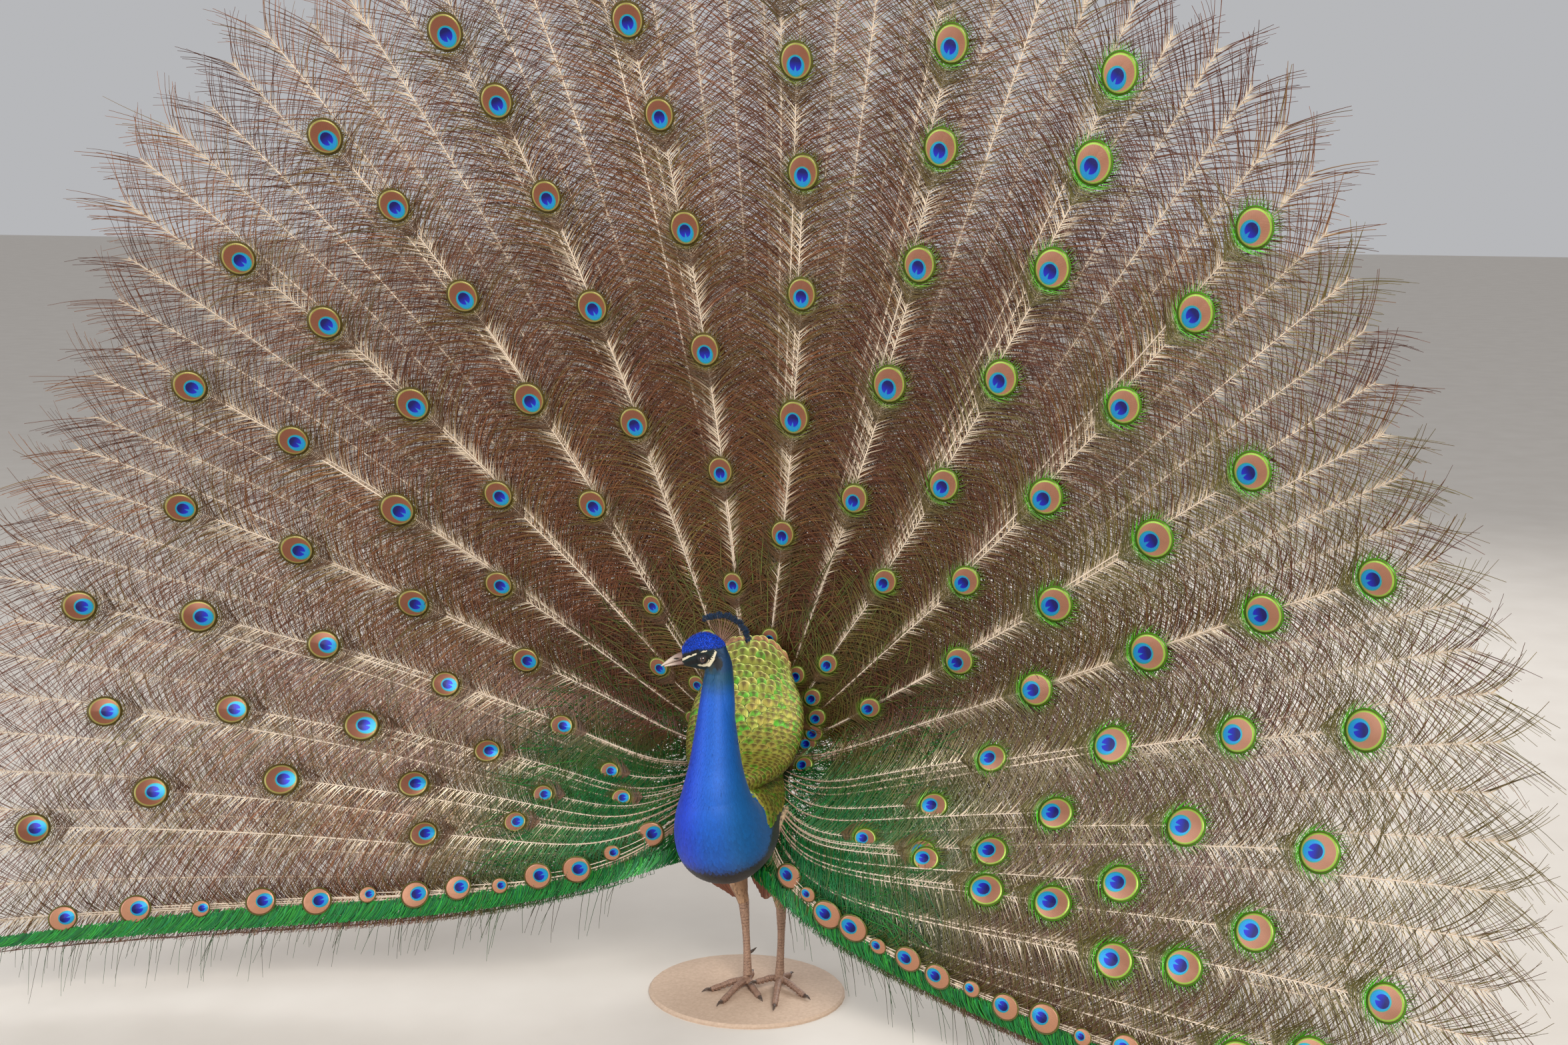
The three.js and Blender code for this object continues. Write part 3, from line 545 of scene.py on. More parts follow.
BLUE_RIGHT = srgb(26, 66, 205)
BLUE_MIDDLE = srgb(18, 92, 190)
BLUE_LEFT = srgb(12, 96, 165)
TEAL = srgb(8, 70, 92)
DARK_TEAL = srgb(8, 36, 38)
HIND_BLUE = srgb(8, 58, 96)
CROWN_BLUE = srgb(24, 82, 225)
NAVY = srgb(14, 30, 62)
BELLY = srgb(14, 12, 18)
BACK_GREEN = srgb(60, 84, 26)
FLANK_GREEN = srgb(12, 42, 32)
BUFF = srgb(182, 142, 108)
RUMP_BROWN = srgb(78, 66, 52)
SKIN_WHITE = srgb(224, 214, 184)
FACE_BLACK = srgb(14, 16, 18)
LEG_HORN = srgb(150, 118, 98)


def mix(a, b, share):
    """Colours mixed by a share per place."""
    return a + (b - a) * np.asarray(share)[..., None]


def trunk_paint(places):
    """Plumage colour of trunk and neck by place: cobalt in front, teal to the nape, dark underneath."""
    x, y, z = body_axes(places)
    paint = mix(mix(BLUE_RIGHT, BLUE_MIDDLE, smooth((x + 0.05) / 0.06)), BLUE_LEFT, smooth((x - 0.01) / 0.05))
    spine = np.interp(z, [0.40, 0.55, 0.66, 0.70], [-0.10, -0.152, -0.150, -0.150])
    paint = mix(paint, TEAL, smooth((y - spine + 0.012) / 0.03) * smooth((z - 0.42) / 0.1) * 0.8)
    paint = mix(paint, TEAL, smooth((z - 0.615) / 0.045) * 0.9)
    paint = mix(paint, NAVY, smooth((0.335 - z) / 0.05) * 0.6)
    paint = mix(paint, BELLY, smooth((0.314 - z + (y + 0.17) * 0.1) / 0.018))
    behind = smooth((y + 0.112 - (z - 0.37) * 0.5) / 0.025)
    flank = mix(np.broadcast_to(FLANK_GREEN, places.shape), BACK_GREEN, smooth((z - 0.365) / 0.015))
    paint = mix(paint, flank, behind * smooth((z - 0.29) / 0.03))
    return mix(paint, RUMP_BROWN, smooth((y - 0.07) / 0.06))


def crown_edge(forward):
    """Height of the crown's lower edge, in millimetres over the eye, by the distance forward."""
    return 16 - 0.26 * np.maximum(forward - 3, 0) + 0.1 * np.maximum(-forward - 10, 0)


def head_paint(places):
    """Plumage colour of the head by place: bright blue crown, dark teal face, blue hind neck."""
    forward, left, up = face_axes(places)
    behind = smooth((-forward - 16) / 22)
    paint = mix(np.broadcast_to(DARK_TEAL, places.shape), HIND_BLUE, behind)
    paint = mix(paint, TEAL, smooth((-up - 17) / 12))
    crown = smooth((up - crown_edge(forward)) / 6)
    paint = mix(paint, CROWN_BLUE, crown)
    return mix(paint, FACE_BLACK, bare_black(places))


def skin_paint(places):
    """Colour of the skin under the plumage: a dimmed copy of the plumage colour, as painted shade in the gaps
    between feathers, with the face's bare white.
    """
    height = places[:, 2] - SHIFT[2]
    # The plumage colours are dimmed here (by 0.85 and 0.8, and 0.7 for the buff by the thighs): painted shade
    # for the skin seen in the gaps between feathers.
    paint = mix(trunk_paint(places) * 0.85, head_paint(places) * 0.8, smooth((height - 0.648) / 0.02))
    for side in SIDES:
        d = places - lerp(HIPS[side], ANKLES[side], 0.6)
        near = smooth((0.065 - np.hypot(d[:, 0], d[:, 1])) / 0.02)
        paint = mix(paint, BUFF * 0.7, near * smooth((0.262 - height) / 0.02))
    paint = mix(paint, LEG_HORN, smooth((0.168 - height) / 0.01))
    return mix(paint, SKIN_WHITE, bare_white(places))


proud = bare_white(places) * 0.0007
places = places + (proud * np.sign(head_axes(places)[1]))[:, None] * HEAD_LEFT
skin_mesh.vertices.foreach_set("co", places.astype(np.float32).ravel())
set_tint(skin_mesh, skin_paint(places))
skin_mesh.update()


class Wire:
    """A socket of a finish. Arithmetic on it adds Math nodes, with numbers on either side."""

    def __init__(self, finish, socket):
        self.finish = finish
        self.socket = socket

    def math(self, operation, *others):
        return self.finish.add("ShaderNodeMath", {"operation": operation}, self, *others)

    def clamp(self):
        return self.finish.add("ShaderNodeClamp", {}, self)

    def __add__(self, other):
        return self.math("ADD", other)

    def __sub__(self, other):
        return self.math("SUBTRACT", other)

    def __mul__(self, other):
        return self.math("MULTIPLY", other)

    def __truediv__(self, other):
        return self.math("DIVIDE", other)

    def __rsub__(self, other):
        return self.finish.add("ShaderNodeMath", {"operation": "SUBTRACT"}, other, self)

    __radd__ = __add__
    __rmul__ = __mul__


class Finish:
    """A node-based material: its Principled shader and one method that adds any other node."""

    def __init__(self, name, **sockets):
        self.material = bpy.data.materials.new(name)
        self.material.use_nodes = True
        self.tree = self.material.node_tree
        self.shader = self.tree.nodes["Principled BSDF"]
        for label, value in sockets.items():
            self.plug(self.shader.inputs[label.replace("_", " ")], value)

    def plug(self, socket, value):
        if isinstance(value, Wire):
            self.tree.links.new(value.socket, socket)
        elif isinstance(value, np.ndarray):
            socket.default_value = (*value, 1) if socket.type == "RGBA" else tuple(value)
        else:
            socket.default_value = value

    def set(self, label, value):
        self.plug(self.shader.inputs[label], value)

    def add(self, kind, settings, *values, out=0, **named):
        node = self.tree.nodes.new(kind)
        for label, value in settings.items():
            setattr(node, label, value)
        for place, value in [*enumerate(values), *named.items()]:
            self.plug(node.inputs[place], value)
        return Wire(self, node.outputs[out])

    def mix(self, share, a, b, blend="MIX"):
        node = self.tree.nodes.new("ShaderNodeMix")
        node.data_type = "RGBA"
        node.blend_type = blend
        for place, value in ((0, share), (6, a), (7, b)):
            self.plug(node.inputs[place], value)
        return Wire(self, node.outputs[2])

    def attribute(self, name, out="Fac"):
        return self.add("ShaderNodeAttribute", {"attribute_name": name}, out=out)

    def uv(self, name):
        """The two parts of a UV map."""
        both = self.add("ShaderNodeUVMap", {"uv_map": name})
        return [self.add("ShaderNodeSeparateXYZ", {}, both, out=k) for k in (0, 1)]

    def noise(self, scale, detail=3.0, vector=None):
        vector = vector or self.add("ShaderNodeTexCoord", {}, out="Object")
        return self.add("ShaderNodeTexNoise", {}, Vector=vector, Scale=scale, Detail=detail)

    def bump(self, height, distance, strength=1.0):
        normal = self.add("ShaderNodeBump", {}, Strength=strength, Distance=distance, Height=height)
        self.set("Normal", normal)

    def tinted(self, low, more, scale, detail=3.0):
        """Base colour from the tint of each point, made uneven by noise from `low` up to `low + more`."""
        uneven = low + more * self.noise(scale, detail)
        self.set("Base Color", self.shade(self.attribute("Tint", "Color"), uneven))

    def sine(self, wave):
        return self.add("ShaderNodeMath", {"operation": "SINE"}, wave)

    def shade(self, colour, share):
        """Colour multiplied by a grey value."""
        grey = self.add("ShaderNodeCombineXYZ", {}, share, share, share)
        return self.add("ShaderNodeVectorMath", {"operation": "MULTIPLY"}, colour, grey)


bare_skin = Finish("bare_skin", Roughness=0.55)
bare_skin.tinted(0.82, 0.36, 420.0)
bare_skin.bump(bare_skin.noise(900.0), 0.0006, 0.5)
dress(skin, bare_skin, (
    "head", "neck_upper", "neck_lower", "breast", "belly_back", "rump", "thigh_left", "thigh_right",
    "wing_left", "wing_right", "tarsus_left", "tarsus_right", "foot_left", "foot_right",
))


# ---- Eyes --------------------------------------------------------------------------------------
# Glass eyes as used for mounted birds: clear domes, brown irises and round black pupils, held by lids.
EYE_FACETS = 40
polar = np.linspace(0, np.pi, EYE_FACETS)[:, None]
around = np.linspace(0, 2 * np.pi, EYE_FACETS, False)[None, :]
eye_glass = Finish("eye_glass", Roughness=0.08, Coat_Weight=0.9, Coat_Roughness=0.03)
away = eye_glass.attribute("Polar")
IRIS_EDGE = 0.70
PUPIL_EDGE = 0.34
fibres = eye_glass.noise(2600.0, 4.0)
iris = eye_glass.mix(fibres, srgb(46, 26, 16), srgb(86, 52, 30))
iris = eye_glass.mix(((away - 0.56) * 9).clamp(), iris, srgb(34, 20, 14))
iris = eye_glass.mix(((away - IRIS_EDGE) * 30).clamp(), iris, srgb(60, 52, 46))
eye_glass.set("Base Color", eye_glass.mix(((away - PUPIL_EDGE) * 40 + 0.5).clamp(), srgb(5, 5, 6), iris))
for name, side in SIDES.items():
    centre = head_place(0, side * EYE_SIDE, 0)
    shell = (np.cos(polar)[..., None] * HEAD_LEFT * side
             + (np.sin(polar) * np.cos(around))[..., None] * HEAD_FORWARD
             + (np.sin(polar) * np.sin(around))[..., None] * UP)
    points = (centre + shell * (EYE_RADIUS - 0.0001)).reshape(-1, 3)
    flat = np.stack(np.broadcast_arrays(around / (2 * np.pi), polar / np.pi), -1).reshape(-1, 2)
    from_pole = np.broadcast_to(polar, shell.shape[:2]).ravel()
    ball = put_mesh(f"eyeball_{name}", points, grid_faces(1, EYE_FACETS, EYE_FACETS, True), None, flat,
                    values=[("Polar", from_pole)])
    dress(ball, eye_glass, (f"eye_{name}",))


# ---- Bill --------------------------------------------------------------------------------------
# Horn over bone, in two halves that meet along the gape: a curved upper half with nostrils near its
# root, and a shorter, straighter lower half under it.
BILL_RINGS, BILL_SIDES = 44, 36
BILL_ROOT, BILL_TIP = 0.033, 0.075
NOSTRIL = (0.0470, -0.0008)


def bill_half(name, top_of, foot_of, reach_to, nostril):
    """One half of the bill between two curves, each a function of the share along the bill."""
    share, turn = tube_grid(reach_to, BILL_RINGS, BILL_SIDES)
    half = 0.008 * np.sqrt(1 - 0.985 * share**1.25)
    top, foot = top_of(share), foot_of(share)
    middle = (top + foot) / 2
    tall = np.maximum(top - foot, 0.0004) / 2
    forward = lerp(BILL_ROOT, BILL_TIP, share)
    up = middle + tall * fuller(np.sin(turn)) + 0.0015 * share
    left = half * np.cos(turn) * lerp(1.0, 0.82, np.sin(turn) * 0.5 + 0.5)
    if nostril:
        pit = blob(forward, up, NOSTRIL, (0.0052, 0.0021), 0.7)
        left = left - np.sign(left) * pit * 0.0016
        ridge = blob(forward, up, (0.0465, 0.0021), (0.0062, 0.0016), 0.9)
        left = left + np.sign(left) * ridge * 0.0006
    points, faces = capped(head_place(forward, left, up), BILL_RINGS, BILL_SIDES)
    flat = np.stack([turn / (2 * np.pi), share * 0.9], -1).reshape(-1, 2)
    flat = np.concatenate([flat, [[0.5, 0.0], [0.5, 0.95]]])
    horn = mix(srgb(128, 104, 96), srgb(208, 190, 174), smooth((share - 0.15) / 0.6))
    # The nostril is painted near black: painted shade for its opening, which the pit in the surface only
    # dents.
    painted_nostril_shade = blob(forward, up, NOSTRIL, (0.0050, 0.0018), 0.6) if nostril else 0 * share
    tint = mix(horn, srgb(28, 20, 18), painted_nostril_shade)
    tint = mix(tint, srgb(74, 60, 58), smooth((0.12 - share) / 0.12)).reshape(-1, 3)
    tint = np.concatenate([tint, tint[:1], tint[-1:]])
    piece = put_mesh(name, points, faces, tint, flat)
    face_out(piece)
    dress(piece, bill_horn, (name.replace("horn", "bill"),))


bill_horn = Finish("bill_horn", Roughness=0.38)
bill_horn.tinted(0.8, 0.4, 500.0)
bill_horn.bump(bill_horn.noise(300.0), 0.0006, 0.4)


def bill_curve(root, tip, power):
    """Height over the eye along the bill: from root to tip by a power of the share along it."""
    return lambda t: lerp(root, tip, t**power)


culmen = bill_curve(0.011, -0.0155, 1.55)
gape = bill_curve(-0.003, -0.0171, 1.25)
jaw = bill_curve(-0.013, -0.0181, 1.1)
bill_half("horn_upper", culmen, gape, 1.0, True)
bill_half("horn_lower", lambda t: gape(t) - 0.0003, lambda t: np.minimum(jaw(t), gape(t) - 0.0012),
          0.86, False)


# ---- Body plumage ------------------------------------------------------------------------------
# Small stiff contour feathers lie over the skin like tiles, each over the root of the next, from the
# throat down the neck to the breast and along the trunk. They are finest on the neck.
VANE_STEPS = 5
VANE_WIDE = 3
# Across a vane: -1, 0 and 1. Along it: its outline as shares of the half width.
VANE_OUTLINE = np.array([0.45, 0.95, 1.0, 0.8, 0.28])


def roots(surface, span, pitch_of, around=(0.0, 2 * np.pi)):
    """Places of feather roots on a surface, in rows `pitch` apart, each shifted by half a feather."""
    rows_t, rows_turn, rows_pitch = [], [], []
    t, row = span[0], 0
    sign = np.sign(span[1] - span[0])
    while (span[1] - t) * sign > 0:
        ring = np.linspace(*around, 49)
        here = surface(np.full(49, t), ring)
        girth = np.linalg.norm(np.diff(here, axis=0), axis=1).sum()
        ahead = surface(np.full(49, t + 0.02 * sign), ring)
        pace = np.linalg.norm(ahead - here, axis=1).mean() / 0.02
        pitch = pitch_of(t)
        wide = max(int(girth / (pitch * 1.05)), 4)
        rows_turn.append(around[0] + (np.arange(wide) + 0.5 * (row % 2)) / wide * (around[1] - around[0]))
        rows_t.append(np.full(wide, t))
        rows_pitch.append(np.full(wide, pitch))
        t, row = t + sign * pitch / pace, row + 1
    t, turn, pitch = (np.concatenate(v) for v in (rows_t, rows_turn, rows_pitch))
    turn = turn + rng.uniform(-0.2, 0.2, len(t)) * pitch / 0.05
    return t, turn, pitch


def stretch(surface, t, turn, eps):
    """Metres of a surface per unit of t, and per unit of turn, from places `eps` to both sides."""
    pace = np.linalg.norm(surface(t + eps, turn) - surface(t - eps, turn), axis=1) / (2 * eps)
    girth = np.linalg.norm(surface(t, turn + eps) - surface(t, turn - eps), axis=1) / (2 * eps)
    return np.maximum(pace, 1e-4)[:, None, None], np.maximum(girth, 1e-4)[:, None, None]


def vanes(surface, t, turn, pitch, heading, paint_of, depth,
          lift=0.0, long=2.5, wide=0.72, sway=0.12, tone_spread_and_painted_shade=0.25):
    """Feathers laid on a surface from their roots toward `heading` in t: points, colours, patches."""
    count = len(t)
    pace, girth = stretch(surface, t, turn, 0.01)
    s = np.linspace(0, 1, VANE_STEPS)[None, :, None]
    c = np.linspace(-1, 1, VANE_WIDE)[None, None, :]
    size = (pitch * rng.uniform(0.85, 1.15, count))[:, None, None]
    slant = rng.normal(0, sway, (count, 1, 1))
    outline = VANE_OUTLINE[None, :, None]
    down = heading * long * size * s / pace
    aside = (wide * size * outline * c + slant * long * size * s) / girth
    rise = depth * (-0.42 + 0.5 * s**0.6) + lift * size * s**2 - 0.04 * size * c**2
    rise = rise + rng.uniform(-0.04, 0.04, (count, 1, 1)) * depth
    places = surface(t[:, None, None] + down, turn[:, None, None] + aside, rise)
    tone = paint_of(places[:, VANE_STEPS // 2, 1])[:, None, None, :]
    tone = tone * rng.uniform(1 - tone_spread_and_painted_shade, 1 + tone_spread_and_painted_shade, (count, 1, 1, 1))
    # Darker toward each vane's root and sides and lighter at its tip: painted shade where it lies under its
    # neighbours and a painted highlight on its free tip. The random tone above is the feathers' own.
    shade = (1 + 1.6 * tone_spread_and_painted_shade * (s**0.8 - 0.85 - 0.4 * np.abs(c)))[..., None]
    patch = np.stack(np.broadcast_arrays(turn[:, None, None] / (2 * np.pi) % 1 + c * 0.0015,
                                         t[:, None, None] / 14 + 0.02 + s * 0.003), -1)
    return places, tone * shade, patch


def joined(sets):
    """The like arrays of several sets put end to end, one row per point."""
    return [np.concatenate([part.reshape(-1, part.shape[-1]) for part in parts]) for parts in zip(*sets)]


def lay_coat(name, finish, sets, nodes=()):
    """One piece from several sets of vanes."""
    points, tint, patch = joined(sets)
    faces = grid_faces(len(points) // (VANE_STEPS * VANE_WIDE), VANE_STEPS, VANE_WIDE)
    dress(put_mesh(name, points, faces, tint, patch), finish, nodes)


plumage = Finish("plumage", Roughness=0.55, Metallic=0.2, Sheen_Weight=0.1, Sheen_Roughness=0.4)
plumage.tinted(0.7, 0.6, 900.0, 2.0)
plumage.bump(plumage.noise(1500.0, 2.0), 0.0004, 0.4)


def inside_head(places):
    """Whether places lie inside the head, where the neck needs no feathers."""
    forward, left, up = head_axes(places)
    return (forward > -0.048) & (forward < 0.025) & (up > -0.026) & (up < 0.04)


t, turn, pitch = roots(trunk, (11.85, 6.4),
                       lambda t: np.interp(t, [6.4, 8.5, 11.8], [0.0043, 0.0036, 0.0030]))
keep = ~inside_head(trunk(t, turn))
neck_coat = vanes(trunk, t[keep], turn[keep], pitch[keep], -1, trunk_paint, COAT_DEPTH,
                  long=3.6, wide=0.62, sway=0.08, tone_spread_and_painted_shade=0.07)


def hind_paint(places):
    """Plumage colour of the hind neck: the head's above, the neck's below."""
    up = head_axes(places)[2]
    return mix(trunk_paint(places), head_paint(places), smooth((up + 0.045) / 0.035))


sets = [neck_coat]
for surface, top in ((nape, 0.012), (cheek, -0.003)):
    t, turn, pitch = roots(surface, (0.02, 0.98), lambda t: lerp(0.0026, 0.0036, t))
    forward, left, up = head_axes(surface(t, turn))
    keep = (up < top) & ((forward < -0.024) | (up < -0.0155))
    sets.append(vanes(surface, t[keep], turn[keep], pitch[keep], 1, hind_paint, HEAD_COAT,
                      long=3.4, wide=0.62, sway=0.08, tone_spread_and_painted_shade=0.08))
lay_coat("neck_feathers", plumage, sets)
t, turn, pitch = roots(trunk, (6.9, 0.12),
                       lambda t: np.interp(t, [0, 3, 4.5, 6.9], [0.0090, 0.0078, 0.0058, 0.0044]))
body_coat = vanes(trunk, t, turn, pitch, -1, trunk_paint, COAT_DEPTH,
                  long=3.8, wide=0.80, sway=0.08, tone_spread_and_painted_shade=0.10)
lay_coat("body_feathers", plumage, [body_coat])


# ---- Head plumage ------------------------------------------------------------------------------
# Tiny curled feathers like raised beads on the crown, and the shortest of all on the face. The white
# patches and the rims of the eyes stay bare skin.
def eye_gap(places):
    """Distance from the middle of the nearer eye, seen from the side."""
    forward, left, up = head_axes(places)
    return np.hypot(forward, up * 1.1)


def crown_share(places):
    """1 on the crown, where the feathers stand up like beads, 0 on the face."""
    forward, left, up = face_axes(places)
    return smooth((up - crown_edge(forward)) / 5)


t, turn, pitch = roots(head_shell, (HEAD_END - 0.02, 0.6), lambda t: 0.0021)
at = head_shell(t, turn)
keep = (bare_white(at) < 0.35) & (eye_gap(at) > LID_OPEN + 0.0014)
t, turn, pitch, at = t[keep], turn[keep], pitch[keep], at[keep]
on_crown = crown_share(at) > 0.5
face = vanes(head_shell, t[~on_crown], turn[~on_crown], pitch[~on_crown], -1, head_paint, HEAD_COAT,
             long=2.2, wide=0.6, sway=0.15)
bead_pitch = pitch[on_crown] * rng.uniform(0.85, 1.3, on_crown.sum())
# The large spread on the beads gives each one a strong painted highlight at its tip and strong painted shade
# at its root, as well as a wide random tone.
beads = vanes(head_shell, t[on_crown], turn[on_crown], bead_pitch, -1, head_paint, HEAD_COAT,
              lift=0.8, long=1.25, wide=0.52, sway=0.3, tone_spread_and_painted_shade=0.5)
lay_coat("head_feathers", plumage, [face, beads])


# ---- Crest -------------------------------------------------------------------------------------
# A fan of two dozen bare shafts on the crown, each with a dark blue-green tuft at its tip.
CREST_SHAFTS = 24
CREST_TUFT = 16
STEM_STEPS, STEM_SIDES = 7, 5
TUFT_STEPS = 4
k = np.linspace(0, 1, CREST_SHAFTS)
lean = np.radians(lerp(60, 168, k)) + rng.normal(0, 0.03, CREST_SHAFTS)
long = 0.044 + 0.004 * np.sin(np.pi * k) + rng.uniform(-0.002, 0.002, CREST_SHAFTS)
spread = rng.normal(0, 0.10, CREST_SHAFTS)
foot = head_place(-0.030 - 0.012 * k, rng.uniform(-0.002, 0.002, CREST_SHAFTS), 0.0345 - 0.010 * k)
direction = unit(np.cos(lean)[:, None] * HEAD_FORWARD + np.sin(lean)[:, None] * UP
                 + spread[:, None] * HEAD_LEFT)
bend = unit(np.cross(HEAD_LEFT, direction))
s = np.linspace(0, 1, STEM_STEPS)[None, :, None]
middle = foot[:, None] + direction[:, None] * long[:, None, None] * s - bend[:, None] * 0.004 * (s - s**2)
ring = np.linspace(0, 2 * np.pi, STEM_SIDES, False)
aside = unit(np.cross(direction, HEAD_FORWARD + 0.3 * UP))
front = np.cross(aside, direction)
spoke = np.cos(ring)[:, None] * aside[:, None] + np.sin(ring)[:, None] * front[:, None]
thick = lerp(0.00055, 0.00028, s)[..., None]
points = (middle[:, :, None] + thick * spoke[:, None]).reshape(-1, 3)
shaft_tint = np.broadcast_to(srgb(146, 112, 96) * rng.uniform(0.7, 1.2, (CREST_SHAFTS, 1, 1, 1)),
                             (CREST_SHAFTS, STEM_STEPS, STEM_SIDES, 3)).reshape(-1, 3)
cell = np.stack([(np.arange(CREST_SHAFTS) + 0.5) / CREST_SHAFTS, np.full(CREST_SHAFTS, 0.3)], -1)
patch = cell[:, None, None] + np.stack(np.broadcast_arrays(ring / 2000, s[..., 0][..., None] / 200), -1)
faces = grid_faces(CREST_SHAFTS, STEM_STEPS, STEM_SIDES, True)
quill_horn = Finish("quill_horn", Roughness=0.35)
quill_horn.tinted(0.85, 0.3, 90.0)
stems = put_mesh("crest_shafts", points, faces, shaft_tint, patch.reshape(-1, 2))
dress(stems, quill_horn, ("crest",))

# Tuft barbs: from the last sixth of each shaft outward to both sides and past its end.
angle = np.linspace(-1, 1, CREST_TUFT)[None, :, None]
s = np.linspace(0, 1, TUFT_STEPS)[None, None, :]
root = (foot + direction * (long * 0.84)[:, None])[:, None, None]
reach_up = 0.0125 * np.cos(angle * 1.25) * rng.uniform(0.8, 1.15, (CREST_SHAFTS, CREST_TUFT, 1))
reach_side = 0.0075 * np.sin(angle * 1.25) * rng.uniform(0.8, 1.2, (CREST_SHAFTS, CREST_TUFT, 1))
puff = rng.normal(0, 0.0016, (CREST_SHAFTS, CREST_TUFT, 1)) * s
middle = (root + (reach_up * s)[..., None] * direction[:, None, None]
          + (reach_side * s**0.8)[..., None] * bend[:, None, None] + puff[..., None] * HEAD_LEFT)
width = (0.0012 * np.sin(np.pi * (0.15 + 0.8 * s)))[..., None] * bend[:, None, None]
points = np.stack([middle - width, middle + width], 3).reshape(-1, 3)
tone = mix(srgb(8, 30, 46), srgb(16, 58, 98), rng.random((CREST_SHAFTS, CREST_TUFT, 1)) * s)
tint = np.repeat((tone * rng.uniform(0.5, 1.3, (CREST_SHAFTS, CREST_TUFT, 1, 1))).reshape(-1, 3), 2, axis=0)
patch = cell[:, None, None, None] + np.stack(np.broadcast_arrays(
    (angle * 0.0015)[..., None] + np.array([0.0, 0.0004]), 0.3 + s[..., None] * 0.003), -1)
patch = np.broadcast_to(patch, (CREST_SHAFTS, CREST_TUFT, TUFT_STEPS, 2, 2)).reshape(-1, 2)
faces = grid_faces(CREST_SHAFTS * CREST_TUFT, TUFT_STEPS, 2)
tufts = put_mesh("crest_tufts", points, faces, tint, patch)
dress(tufts, plumage)


# ---- Shanks and feet ---------------------------------------------------------------------------
# The bare shanks and toes carry horny scales: broad plates in two rows down the front of the shank
# and across the top of each toe, small round ones elsewhere, and knobbly pads underneath.
def plates(length, long, turn, wide, depth):
    """Height of plates on a tube: 0 on a plate and -depth in the grooves between plates."""
    row = length / long
    shift = 0.5 * (np.sin(turn) < 0)
    down = np.abs((row + shift) % 1 - 0.5) * 2
    around = np.abs((turn / wide) % 1 - 0.5) * 2
    return -depth * np.maximum(smooth((down - 0.72) / 0.28), smooth((around - 0.8) / 0.2) * 0.7)


SHANK_LONG = 0.152
SHANK_PLATE, TOE_PLATE = 0.0062, 0.0036
PLATE_DEPTH = 0.0005
LEG_TUBES = 5


def toe_long(side, name):
    """Length of a toe: the level distance from the middle of the foot to the toe's tip."""
    return np.hypot(*(spot(*TOES[side][name][0]) - FEET[side])[:2])


scale_points, scale_faces, scale_tint, scale_patch, start = [], [], [], [], 0
for side_number, side in enumerate(SIDES):
    tubes = [("shank", tarsus(side), 120, 40, SHANK_LONG, SHANK_PLATE, np.pi / 3)]
    tubes += [(name, toe(side, name), 84, 30, toe_long(side, name), TOE_PLATE, np.pi) for name in TOES[side]]
    for tube_number, (name, surface, rings, sides, length, plate, plate_turn) in enumerate(tubes):
        t, turn = tube_grid(1, rings, sides)
        grow = plates(t * length, plate, turn, plate_turn, PLATE_DEPTH)
        if name != "shank":
            under = smooth((-np.sin(turn) - 0.2) / 0.4)
            knobs = 0.0009 * np.sin(t * length / 0.009 * 2 * np.pi) + 0.0004 * rng.normal(0, 1, t.shape)
            grow = lerp(grow, knobs, under)
        grow = grow + 0.0002 * rng.normal(0, 1, t.shape)
        ends = np.minimum(t, 1 - t)
        grow = grow - 0.004 * (1 - smooth(ends / 0.03)) * (name != "shank")
        points, faces = capped(surface(t, turn, grow), rings, sides)
        scale_faces += [f + start for f in faces]
        groove = np.clip(-grow / PLATE_DEPTH, 0, 1)
        tone = mix(srgb(168, 134, 112), srgb(84, 62, 52), groove * 0.8)
        tone = tone * rng.uniform(0.85, 1.15, t.shape + (1,))
        if name != "shank":
            tone = tone * np.array([0.86, 0.84, 0.86])
        tone = np.concatenate([tone.reshape(-1, 3), np.tile(LEG_HORN, (2, 1))])
        cell = np.array([tube_number, side_number])
        flat = (cell + 0.05 + 0.9 * np.stack([turn / (2 * np.pi), t], -1)).reshape(-1, 2)
        flat = np.concatenate([flat, np.tile(cell + 0.5, (2, 1))]) / [LEG_TUBES, len(SIDES)]
        scale_patch.append(flat)
        scale_points.append(points)
        scale_tint.append(tone)
        start += len(points)
leg_scales = put_mesh("leg_plates", np.concatenate(scale_points), scale_faces, np.concatenate(scale_tint),
                      np.concatenate(scale_patch))
face_out(leg_scales)
leg_horn = Finish("leg_horn", Roughness=0.55)
leg_horn.tinted(0.75, 0.5, 260.0)
leg_horn.bump(leg_horn.noise(700.0), 0.0006, 0.4)
dress(leg_scales, leg_horn)


# ---- Claws and spurs ---------------------------------------------------------------------------
# Dark curved horn: a blunt claw on every toe and a pointed spur on the inner back of each shank.
claw_horn = Finish("claw_horn", Roughness=0.35)
streak = claw_horn.noise(420.0, 5.0)
claw_horn.set("Base Color", claw_horn.mix(streak, srgb(38, 30, 28), srgb(104, 86, 74)))
claw_horn.bump(streak, 0.0003, 0.5)
CLAW_LONG = 0.017
CLAW_RADII = np.array([3.3, 3.1, 2.4, 1.6, 0.5]) / 1000
SPUR_RADII = np.array([4.6, 4.0, 3.0, 1.9, 0.5]) / 1000
SPUR_LEVEL = 0.062
HORN_GRID = (26, 18)


def horn(name, path, radii, node):
    """A tapering curved piece of horn with a round tip."""
    points, faces = closed_loft(lambda t, turn: tube_point(path, radii, t, turn), 1.0, *HORN_GRID)
    points[:, 2] = np.maximum(points[:, 2], FOOT_LEVEL)
    piece = put_mesh(name, points, faces, None, tube_patch(*HORN_GRID))
    face_out(piece)
    dress(piece, claw_horn, (node,))


